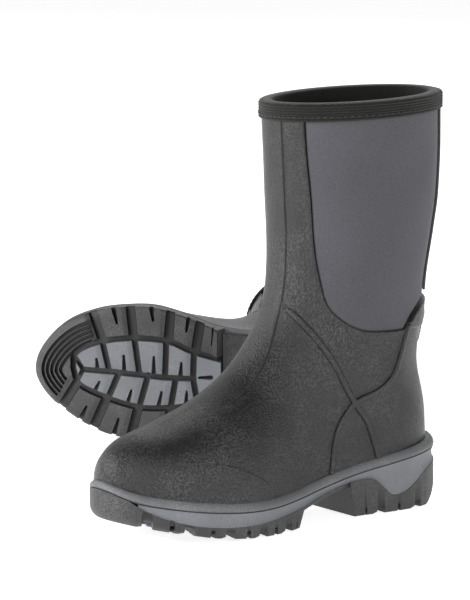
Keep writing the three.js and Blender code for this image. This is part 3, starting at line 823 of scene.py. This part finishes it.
def toe_cap(face):
    cap = face.cut("toe_cap", 0, 0.3, 0.9, 2).keep("toe_cap", low=0)
    strength = 1 - grow(cap.place[:, 0], *TOE_CAP_FADE)
    raised("toe_cap", cap, "toe_cap", raise_by=1.0, bevel=0.9, strength=strength)


def shin_strip(face):
    strip = face.cut("strip", 0, 0.3, 1).keep("strip", low=0)
    strip = strip.cut("height", STRIP_TOP).keep("height", high=STRIP_TOP)
    strength = 1 - grow(strip.place[:, 0], *STRIP_FADE)
    raised("shin_strip", strip, "strip", raise_by=1.2, bevel=1.1, strength=strength)


def back_stay(face):
    stay = face.cut("stay", 0, 0.4, 1.2).keep("stay", low=0)
    stay = stay.cut("height", STAY_BOTTOM, STRIP_TOP).keep("height", STAY_BOTTOM, STRIP_TOP)
    raised("back_stay", stay, "stay", raise_by=1.5, bevel=1.2)


def kick_tab(face):
    """The thick tab over the heel that the other foot pushes on, with a small spur at the back."""
    tab = face.cut("kick_tab", 0, 0.5, 1.4, 3).keep("kick_tab", low=0)
    x, _, z = tab.place.T
    spur = SPUR_HEIGHT * hump(x, 10, 14) * hump(z, 140, 4) * grow(tab.measures["kick_tab"], 0, 3)
    raised("kick_tab", tab, "kick_tab", raise_by=2.2, bevel=1.6, extra=spur)


def ankle_bands(face):
    """Two low ridges that cross on each side of the ankle."""
    levels = [BAND_HALF * share for share in BAND_LEVELS]
    bands = face.cut("front_band", *levels).cut("rear_band", *levels)
    bands = bands.cut("panel", -BAND_PANEL_GAP).keep("panel", high=-BAND_PANEL_GAP)
    for name, low, high in (("outer", BAND_CLEAR, math.inf), ("inner", -math.inf, -BAND_CLEAR)):
        half = bands.cut("side", BAND_CLEAR, -BAND_CLEAR).keep("side", low, high)
        from_edge = BAND_HALF - np.minimum(
            np.abs(half.measures["front_band"]), np.abs(half.measures["rear_band"]))
        half.measures["band"] = from_edge
        half = half.keep("band", low=0.01)
        raised(f"{name}_ankle_bands", half, "band", raise_by=1.5, bevel=BAND_HALF)


def upper():
    face = upper_sheet(0.0)
    rubber_shell(face)
    panels(face)
    toe_cap(face)
    shin_strip(face)
    back_stay(face)
    kick_tab(face)
    ankle_bands(face)
    lining = solid_between(upper_sheet(SHELL_THICKNESS + GAP), 0, LINING_THICKNESS)
    add_pieces("lining", [lining], LINING)


# The collar
BINDING_DROP = 10
RIB_COUNT = 6
RIB_RELIEF = 0.32
RIB_SHADE = 0.55
RIBS_TOP = 1.4
BINDING_PROUD = 1.7
BINDING_INSIDE = 9
WALL_INSIDE = 7.4
FOLD_MIDDLE = 3.6
FOLD_HALF = 5.2
FOLD_RISE = 1.8
LAP_TURN = 0.83
LAP_THICKNESS = 0.9
STITCH_COUNT = 84
STITCH_PLACE = [[-1.95, -0.68 * BINDING_DROP]]
STITCH_HALF = 1.35
THREAD_RADIUS = 0.42


def binding_profile():
    """Loop round the webbing: [depth into the wall, height above the raw edge]."""
    heights = np.linspace(-BINDING_DROP, RIBS_TOP, 6 * RIB_COUNT + 1)
    ribs = RIB_RELIEF * np.cos(np.linspace(0, 2 * math.pi * RIB_COUNT, len(heights)))
    outer = np.column_stack([ribs - BINDING_PROUD, heights])
    fold_turn = np.linspace(0, math.pi, 9)[1:-1]
    fold = np.column_stack([
        FOLD_MIDDLE - FOLD_HALF * np.cos(fold_turn), RIBS_TOP + FOLD_RISE * np.sin(fold_turn)])
    inner = np.array([
        [BINDING_INSIDE, 1.2], [BINDING_INSIDE, -BINDING_DROP], [WALL_INSIDE, -BINDING_DROP],
        [WALL_INSIDE, GAP]])
    under = np.array([[-GAP, GAP], [-GAP, -BINDING_DROP]])
    return np.vstack([outer, fold, inner, under])


def collar_rows(profile, turns):
    turn, inset = np.meshgrid(turns, profile[:, 0], indexing="ij")
    rows = upper_point(np.full(turn.shape, float(LAST_CUT)), turn, inset)
    rows[..., 2] += profile[:, 1]
    return rows


def collar_binding():
    """The folded webbing, with one lapped end."""
    turns = np.linspace(-1, 1, AROUND_COLLAR, endpoint=False)
    profile = binding_profile()
    rows = collar_rows(profile, turns)
    outward = collar_rows(profile - [1, 0], turns) - rows
    lap = grow(turns, LAP_TURN - 0.02, LAP_TURN) * (1 - grow(turns, LAP_TURN + 0.07, LAP_TURN + 0.13))
    on_face = grow(-profile[:, 0], -3, 1)
    rows += LAP_THICKNESS * outward * (lap[:, None] * on_face[None])[..., None]
    shade = RIB_SHADE * np.clip((profile[:, 0] + BINDING_PROUD) / RIB_RELIEF, 0, 1)
    shade = np.tile(shade, AROUND_COLLAR)
    add_pieces("collar_binding", [swept(rows, True)], WEBBING, shade)


def collar_stitching():
    """The row of stitches that holds the webbing."""
    turns = np.linspace(-1, 1, STITCH_COUNT, endpoint=False)
    place = np.array(STITCH_PLACE)
    centres = collar_rows(place, turns)[:, 0]
    along = collar_rows(place, turns + 0.004)[:, 0] - centres
    along /= np.linalg.norm(along, axis=1)[:, None]
    solids = [stitch(centre, way) for centre, way in zip(centres, along)]
    add_pieces("collar_stitching", solids, THREAD, replaced=False)


def stitch(centre, along):
    """A small bead with rounded ends."""
    across = np.cross(along, [0, 0, 1.0])
    up = np.cross(across, along)
    spokes = np.arange(8) * math.pi / 4
    ends = math.pi * (np.arange(6) + 0.5) / 6
    around = np.outer(np.cos(spokes), across) + np.outer(np.sin(spokes), up)
    middles = centre + STITCH_HALF * np.outer(np.cos(ends), along)
    return swept(middles[:, None] + THREAD_RADIUS * np.sin(ends)[:, None, None] * around, False)


# The sole
def outline_places(angles, inset):
    """Plan points round the sole, from the heel over the outer side and the toe back to the heel."""
    x = mix(inset, SOLE_LENGTH - inset, (1 - np.cos(angles)) / 2)
    side = np.where(np.sin(angles) >= 0, 1, -1)
    return np.column_stack([x, side * sole_half_width(x, side, inset)])


ALL_ROUND = np.linspace(0, 2 * math.pi, AROUND_SOLE, endpoint=False)
SOLE_OUTLINE = outline_places(ALL_ROUND, 0)
SHEET_HALF = 57


def plan_sheet(start, end, height, step, inward=(0, 0, 1)):
    """A rectangular sheet over the sole at a height along it, with its distance inside the outline."""
    xs = np.linspace(start, end, math.ceil((end - start) / step) + 1)
    ys = np.linspace(-SHEET_HALF, SHEET_HALF, math.ceil(2 * SHEET_HALF / step) + 1)
    x, y = (values.ravel() for values in np.meshgrid(xs, ys, indexing="ij"))
    triangles = grid_triangles(np.arange(x.size).reshape(len(xs), len(ys)))
    place = np.column_stack([x, y, height(x)])
    edge = inside_distance(place[:, :2], SOLE_OUTLINE)
    return Sheet(place, np.tile(np.array(inward, float), (len(x), 1)), triangles, {"edge": edge})


def trimmed(sheet, inset, *bevels):
    return sheet.cut("edge", inset, *(inset + bevel for bevel in bevels)).keep("edge", low=inset)


TOE_CURL = 8
TOE_CURL_REACH = (225, 285)
HEEL_CURL_REACH = (6, 26)
BREAK_HEIGHT = 0.8
BREAK_WIDTH = 1.4
WALL = 0.8
CHAMFER = 4.5
CHAMFER_LEFT = 0.72
GROOVE_SHADE = 0.95
NEAR = 5
FAR_AWAY = 99


class Groove:
    """A groove of the tread along a plan path, its width at the start and at the end."""

    def __init__(self, path, width, end_width=None, chamfered=False):
        self.path = np.array(path, float)
        self.widths = (width, width if end_width is None else end_width)
        self.chamfered = chamfered

    def distance(self, plan):
        """Distance outside the groove's edge, positive on the lugs."""
        offset = np.abs(path_distance(plan, self.path))
        if self.widths[0] == self.widths[1]:
            return offset - self.widths[0] / 2
        along = self.path[-1] - self.path[0]
        share = np.clip((plan - self.path[0]) @ along / (along @ along), 0, 1)
        return offset - mix(self.widths[0], self.widths[1], share) / 2

    def behind(self, plan):
        """Distance from the groove's edge on its heel side, and far away on its toe side."""
        side = path_distance(plan, self.path)
        heel_side = side if self.path[-1, 1] < self.path[0, 1] else -side
        return np.where(heel_side < 0, FAR_AWAY, self.distance(plan))

    def cut_into(self, sheet):
        """Edges along the foot and the top of the groove's walls."""
        def near(place):
            return self.distance(place[:, :2]) < NEAR

        # a narrow groove needs an edge along its middle first, or the sheet would bridge it
        sheet.measures["middle"] = path_distance(sheet.place[:, :2], self.path)
        sheet = sheet.cut("middle", 0, near=near)
        for level in (0, WALL, CHAMFER) if self.chamfered else (0, WALL):
            sheet.measures["groove"] = self.distance(sheet.place[:, :2])
            sheet = sheet.cut("groove", level, near=near)
        return sheet


def grooves_along(paths, *widths, chamfered=False):
    return [Groove(path, *widths, chamfered=chamfered) for path in paths]


def cut_grooves(sheet, grooves):
    for groove in grooves:
        sheet = groove.cut_into(sheet)
    return sheet


def groove_shade(share):
    """Dark in the grooves, clear on the tops of the lugs and on their sloping faces."""
    return face_shade(GROOVE_SHADE * (1 - grow(share, 0, 0.7)), 0)


def lug_share(plan, grooves):
    """0 in the grooves, 1 on top of the lugs."""
    share = np.ones(len(plan))
    for groove in grooves:
        share = np.minimum(share, np.clip(groove.distance(plan) / WALL, 0, 1))
        if groove.chamfered:
            slope = np.clip(groove.behind(plan) / CHAMFER, 0, 1)
            share = np.minimum(share, mix(CHAMFER_LEFT, 1, slope))
    return share


OUTER_CHANNEL = smooth_path([
    [263, -3], [258, 10], [237, 19.5], [211, 26.6], [188, 26.7], [168, 24], [141, 15.5]], steps=4)
INNER_CHANNEL = smooth_path([
    [263, -3], [261, -15], [244, -24], [215, -28.5], [186, -26.5], [168, -19], [141, -11.5]], steps=4)
INSERT_OUTLINE = np.vstack([OUTER_CHANNEL, INNER_CHANNEL[:0:-1]])
CHANNEL_WIDTH = 3.4
CHANNELS = [Groove(OUTER_CHANNEL, CHANNEL_WIDTH), Groove(INNER_CHANNEL, CHANNEL_WIDTH)]
RING_GROOVES = grooves_along([
    [[260, 9], [283, 46]], [[235.5, 19], [250, 52]], [[210, 25], [218.5, 58]], [[184.5, 26], [189, 58]],
    [[160, 20], [162, 56]], [[238.5, -24], [249, -54]], [[214, -28], [217.5, -60]],
    [[186.4, -26], [183.6, -60]], [[165, -17], [159.5, -52]]], 6.4, chamfered=True)
SIPES = grooves_along([
    [[252.5, 28], [261, 45]], [[226.5, 37], [232, 55]], [[199, 42], [203, 58]], [[174, 36], [175.5, 56]],
    [[150, 27], [150, 47]], [[227.5, -40], [231.5, -57]], [[198.5, -43], [200.5, -58]],
    [[172, -35], [169, -54]], [[150.5, -25], [146.5, -44]]], 0.4, 3.4)
PAD_GROOVES = (7.1, 10.7, 14.3, 17.9, 21.5)
PAD_GROOVE_WIDTH = 1.9
PAD_WALL = 0.5
PAD_BORDER = 6.2
PAD_FLOOR = 0.25
PAD_START = np.array([[246, -60], [240.5, -26.5], [262, 8.5], [289, 52]], float)
INSERT_GROOVES = [
    Groove([[255, -2], [231, -1], [207, 1], [189, 2.5], [166, 3]], 3.2),
    Groove([[255, -2], [262, -13]], 2.4),
    Groove([[255, -2], [260, 8]], 2.4),
] + grooves_along([
    [[233.7, -1], [239.5, -26]], [[209.5, 0], [213.6, -29]], [[189, 1], [188, -27]],
    [[166.8, 3], [166, -20]], [[226, 0], [235, 21]], [[202.5, 1], [210, 28]], [[180.5, 3], [184.8, 28]],
    [[166.8, 3], [163, 24]]], 3.8, chamfered=True)
SLITS = grooves_along([
    [[244, -10.6], [243.2, -3]], [[222, -14], [221.6, -2]], [[198, -14], [198, -1]],
    [[176, -9.5], [176.6, 0]], [[241.8, 7.5], [245.5, 15]], [[216, 13.5], [219, 24]],
    [[191.7, 14], [194.4, 26]], [[171.8, 13.5], [172.3, 23]], [[162, 2], [152.5, 1.8]]], 0.5, 2.3)


def sole_solid(sheet, share):
    """A tread block: lugs hang below the sheet by a share of their depth, and it reaches up to the grey
    layer. Its lower edge is softly broken along the sides and widely rounded under the toe and the heel."""
    x = sheet.place[:, 0]
    edge = sheet.measures["edge"]
    broken = BREAK_HEIGHT * (1 - round_end(edge, BREAK_WIDTH))
    under_toe = TOE_CURL * grow(x, *TOE_CURL_REACH) * (1 - round_end(edge, TOE_CURL))
    under_heel = HEEL_CURL * (1 - grow(x, *HEEL_CURL_REACH)) * (1 - round_end(edge, HEEL_CURL))
    lower = -LUG_DEPTH * share + np.maximum(broken, np.maximum(under_toe, under_heel))
    return solid_between(sheet, lower, tread_top(x) - sheet.place[:, 2])


def pad_share(plan, edge):
    """The ribbed pad under the tip of the toe: rings that follow the edge, inside a plain border."""
    beyond = -path_distance(plan, PAD_START)
    ribs = np.ones(len(plan))
    for place in PAD_GROOVES:
        from_groove = np.abs(edge - place) - PAD_GROOVE_WIDTH / 2
        ribs = np.minimum(ribs, np.clip(from_groove / PAD_WALL, 0, 1))
    ribs = np.where(np.abs(beyond) < PAD_BORDER, 1, ribs)
    return beyond > 0, ribs


START_SLANT = 5
INSERT_ROOT = 1.5


def lug_root(x):
    return toe_spring(x) + LUG_DEPTH


def forefoot_tread():
    """The dark outsole under the forefoot: side lugs, ribbed toe pad and the web round the grey lugs."""
    sheet = plan_sheet(FOREFOOT_START, SOLE_LENGTH, lug_root, TREAD_STEP)
    sheet = trimmed(sheet, 0, 0.6, 1.4, 3)
    grooves = CHANNELS + RING_GROOVES + SIPES
    sheet = cut_grooves(sheet, grooves)
    for place in PAD_GROOVES:
        half = PAD_GROOVE_WIDTH / 2
        levels = [place + side * width for side in (-1, 1) for width in (half, half + PAD_WALL)]
        sheet = sheet.cut("edge", *levels, near=lambda place: path_distance(place[:, :2], PAD_START) < 1)
    plan = sheet.place[:, :2]
    share = lug_share(plan, grooves)
    in_pad, ribs = pad_share(plan, sheet.measures["edge"])
    share = np.where(in_pad, np.minimum(share, mix(PAD_FLOOR, 1, ribs)), share)
    share = np.where(inside_distance(plan, INSERT_OUTLINE) > 0, 0, share)
    points, triangles = sole_solid(sheet, share)
    x = plan[:, 0]
    points[:len(x), 0] += START_SLANT * (1 - grow(x, FOREFOOT_START, FOREFOOT_START + 12))
    add_pieces("outsole_forefoot", [(points, triangles)], TREAD, groove_shade(share))


def tread_insert():
    """The island of grey lugs, standing on the dark web."""
    sheet = plan_sheet(FOREFOOT_START + 2, SOLE_LENGTH - 28, lug_root, TREAD_STEP)
    sheet.measures["island"] = inside_distance(sheet.place[:, :2], INSERT_OUTLINE) - CHANNEL_WIDTH / 2
    sheet = sheet.cut("island", 0, WALL).keep("island", low=0)
    sheet = cut_grooves(sheet, INSERT_GROOVES + SLITS)
    plan = sheet.place[:, :2]
    share = np.clip(sheet.measures["island"] / WALL, 0, 1)
    share = np.minimum(share, lug_share(plan, INSERT_GROOVES + SLITS))
    sheet.measures["share"] = share
    sheet = sheet.keep("share", low=0.01)
    share = sheet.measures["share"]
    solid = solid_between(sheet, -LUG_DEPTH * share, INSERT_ROOT)
    add_pieces("tread_insert", [solid], GREY, groove_shade(share))


HEEL_CHANNEL = Groove([[90, -15], [70, -17], [40, -16], [22, 0], [40, 16], [70, 17], [90, 15]], 3.2)
HEEL_SIDES = grooves_along([
    [[x, side * inside], [end, side * 50]]
    for side in (1, -1) for x, inside, end in ((68, 17, 70), (36, 15, 34))], 5.6, chamfered=True)
HEEL_SIPES = grooves_along([
    [[x, side * start], [end_x, side * end]]
    for side in (1, -1) for x, start, end_x, end in ((84, 26, 84, 48), (53, 27, 53.5, 50))]
    + [[[14, 0], [-2, 0]]], 0.4, 3.2)
HEEL_CHEVRONS = grooves_along([[[x, -16], [x - 3, 0], [x, 16]] for x in (76, 58, 40)], 3, chamfered=True)
BREAST_SLANT = 5


def heel_tread():
    """The heel block, with a rounded back corner and a leaning front face."""
    sheet = plan_sheet(0, HEEL_BREAST - GAP, lambda x: np.full(len(x), float(LUG_DEPTH)), TREAD_STEP)
    sheet = trimmed(sheet, 0, 0.6, 1.4, 3, 6, 9)
    grooves = [HEEL_CHANNEL, *HEEL_SIDES, *HEEL_SIPES, *HEEL_CHEVRONS]
    sheet = cut_grooves(sheet, grooves)
    x = sheet.place[:, 0]
    share = lug_share(sheet.place[:, :2], grooves)
    points, triangles = sole_solid(sheet, share)
    lean = BREAST_SLANT * grow(x, HEEL_BREAST - 22, HEEL_BREAST)
    points[:len(x), 0] -= lean
    add_pieces("outsole_heel", [(points, triangles)], TREAD, groove_shade(share))


ARCH_THICKNESS = 5
ARCH_INSET = 3
ARCH_BREAK = 1.2
OVAL = (128, 11, 8)
DISH_DEPTH = 2.2
DISH_SHADE = 0.6
FINS = (105, 110.5, 116)
FIN_HEIGHT = 1.2


def arch_plate():
    """The dark plate under the arch, with an oval dish and three low fins."""
    sheet = plan_sheet(
        HEEL_BREAST - 3, FOREFOOT_START + 1, lambda x: grey_edge(x) - ARCH_THICKNESS, TREAD_STEP)
    sheet = trimmed(sheet, ARCH_INSET, 0.8, 1.8)
    x, y, _ = sheet.place.T
    sheet.measures["oval"] = (np.hypot((x - OVAL[0]) / OVAL[1], y / OVAL[2]) - 1) * OVAL[2]
    sheet = sheet.cut("oval", 0, -1.2)
    x, y, _ = sheet.place.T
    dish = 1 - grow(sheet.measures["oval"], -1.2, 0)
    fins = sum(hump(x, place, 1.1) for place in FINS) * (1 - grow(np.abs(y), 14, 18))
    rounded = ARCH_BREAK * (1 - round_end(sheet.measures["edge"] - ARCH_INSET, 1.8))
    lower = DISH_DEPTH * dish - FIN_HEIGHT * fins + rounded
    solid = solid_between(sheet, lower, ARCH_THICKNESS - GAP / 2)
    add_pieces("arch_plate", [solid], TREAD, face_shade(DISH_SHADE * dish, 0))


MIDSOLE_END = 279
MIDSOLE_DEPTH = 9


def band_rows(profile, lower, upper, angles):
    """Rows round the sole through a profile of [inset, share of the height between two curves]."""
    rows = []
    for inset, share in profile:
        plan = outline_places(angles, inset)
        height = mix(lower(plan[:, 0]), upper(plan[:, 0]), share)
        rows.append(np.column_stack([plan, height]))
    return np.stack(rows, 1)


def midsole():
    """The grey layer that shows in the side wall, waisted between its edges."""
    stop = math.acos(1 - 2 * MIDSOLE_END / SOLE_LENGTH)
    angles = np.linspace(-stop, stop, AROUND_SOLE)
    shares = np.linspace(0, 1, 9)
    wall = np.column_stack([0.35 + 1.1 * np.sin(math.pi * shares) ** 0.8, shares])
    profile = np.vstack([wall, [[MIDSOLE_DEPTH, 1], [MIDSOLE_DEPTH, 0]]])
    rows = band_rows(profile, grey_edge, lambda x: np.maximum(rim_bottom(x), grey_edge(x) + 0.2), angles)
    add_pieces("midsole", [swept(rows, False)], GREY)


RIM_SHADE = [0.9, 1, 0.4, 0, 0, 0, 0, 0, 0.3, 0.9, 1, 1]
RIM_PROFILE = [
    [0.9, -6.0], [1.1, -5.5], [0.3, -5.1], [0.0, -4.3], [0.1, -3.0], [0.5, -1.7], [1.1, -0.6], [1.8, 0.3],
    [2.6, 1.2], [3.1, 1.5], [8.0, 0.9], [8.0, -6.0]]


def sole_rim():
    """The welt round the top of the sole: a rounded lip over a thin groove."""
    profile = [[inset, 1 + height / RIM_HEIGHT] for inset, height in RIM_PROFILE]
    rows = band_rows(profile, rim_bottom, sole_top, ALL_ROUND)
    shade = np.tile(RIM_SHADE, AROUND_SOLE)
    add_pieces("sole_rim", [swept(rows, True)], RIM, shade)


FOOTBED_INSET = 13
FOOTBED_START = 19
FOOTBED_END = 290
FOOTBED_THICKNESS = 5
BOARD_THICKNESS = 2
HEEL_DISH = 1.8
BALL_DISH = 1.0
DOME = 1.6


def footbed():
    """The foam footbed, dished under the heel and domed at its edges."""
    def top(x):
        return sole_top(x) + 2 * GAP + BOARD_THICKNESS + FOOTBED_THICKNESS

    sheet = plan_sheet(FOOTBED_START, FOOTBED_END, top, SKIN_STEP, (0, 0, -1))
    sheet = trimmed(sheet, FOOTBED_INSET, 1, 2.5, 5)
    x, y, _ = sheet.place.T
    edge = sheet.measures["edge"] - FOOTBED_INSET
    heel_dish = HEEL_DISH * hump(x, 48, 26) * hump(y, 0, 17)
    ball_dish = BALL_DISH * hump(x, 215, 26) * hump(y, 0, 26)
    depth = heel_dish + ball_dish + DOME * (1 - round_end(edge, 5))
    solid = solid_between(sheet, depth, FOOTBED_THICKNESS)
    for piece in add_pieces("footbed", [solid], FOAM):
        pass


def sole():
    forefoot_tread()
    tread_insert()
    heel_tread()
    arch_plate()
    midsole()
    sole_rim()
    footbed()


def carried_over():
    """CAD nodes that keep their shape and get a material."""
    for side in SIDES:
        for name, material in (("insole_board", BOARD), ("shank", STEEL)):
            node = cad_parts[f"{side}_{name}"]
            node.data.materials.clear()
            node.data.materials.append(material)


# The studio
CAMERA_TARGET = Vector((0.0202, -0.2575, 0.1628))
CAMERA_AZIMUTH = math.radians(4.33)
CAMERA_ELEVATION = math.radians(9.28)
CAMERA_DISTANCE = 3.0
CAMERA_LENS = 252.2
SENSOR_WIDTH = 36
VIEW_LIMIT = 100
LIGHT_TARGET = (0, 0, 0.15)


def camera():
    flat = math.cos(CAMERA_ELEVATION)
    back = Vector((
        math.sin(CAMERA_AZIMUTH) * flat, -math.cos(CAMERA_AZIMUTH) * flat, math.sin(CAMERA_ELEVATION)))
    data = bpy.data.cameras.new("camera")
    data.lens = CAMERA_LENS
    data.sensor_width = SENSOR_WIDTH
    data.clip_end = VIEW_LIMIT
    holder = add_object("camera", data)
    aim(holder, CAMERA_TARGET + back * CAMERA_DISTANCE, CAMERA_TARGET)
    bpy.context.scene.camera = holder


def area_light(name, place, power, size):
    data = bpy.data.lights.new(name, "AREA")
    data.energy = power
    data.shape = "RECTANGLE"
    data.size, data.size_y = size
    aim(add_object(name, data), place, LIGHT_TARGET)


FLOOR_GLOW = 0.75
FLOOR_HALF = 30.0
SKY_RANGE = {"From Min": 0.05, "From Max": 0.75, "To Min": 0.75, "To Max": 0.08}


def floor():
    """A pale floor that glows a little, so that it stays as white as the background."""
    shader = Shader(
        "studio_floor", roughness=0.9, specular_ior_level=0.0, emission_color=(1, 1, 1, 1),
        emission_strength=FLOOR_GLOW)
    cloud = shader.noise(shader.object_place(), 2, 2)
    colour = shader.colours(cloud, (0.86, 0.86, 0.86), (0.88, 0.88, 0.88))
    material = shader.finish(colour, cloud, 0.0, 0.1)
    corners = [(FLOOR_HALF * x, FLOOR_HALF * y, 0) for x, y in ((-1, -1), (1, -1), (1, 1), (-1, 1))]
    mesh = bpy.data.meshes.new("floor")
    mesh.from_pydata(corners, [], [(0, 1, 2, 3)])
    mesh.materials.append(material)
    add_object("floor", mesh)


def sky():
    """Soft light from all round, bright at the sides and dim overhead."""
    world = bpy.data.worlds.new("studio")
    world.use_nodes = True
    tree = world.node_tree
    background = tree.nodes["Background"]
    direction = tree.nodes.new("ShaderNodeTexCoord")
    parts = tree.nodes.new("ShaderNodeSeparateXYZ")
    fade = tree.nodes.new("ShaderNodeMapRange")
    tree.links.new(direction.outputs["Generated"], parts.inputs[0])
    tree.links.new(parts.outputs["Z"], fade.inputs["Value"])
    for socket, value in SKY_RANGE.items():
        fade.inputs[socket].default_value = value
    tree.links.new(fade.outputs["Result"], background.inputs["Strength"])
    background.inputs["Color"].default_value = (1, 1, 1, 1)
    bpy.context.scene.world = world


def studio():
    sky()
    bpy.context.scene.view_settings.view_transform = "Standard"
    area_light("key", (-1.6, -1.5, 0.8), 50, (0.7, 1.5))
    area_light("fill", (1.5, -1.9, 0.9), 25, (0.8, 1.5))
    area_light("side", (-2.0, 0.4, 1.2), 22, (0.8, 0.8))
    area_light("back", (0.4, 2.2, 1.8), 26, (2.0, 1.0))
    floor()
    camera()


upper()
collar_binding()
collar_stitching()
sole()
carried_over()
studio()
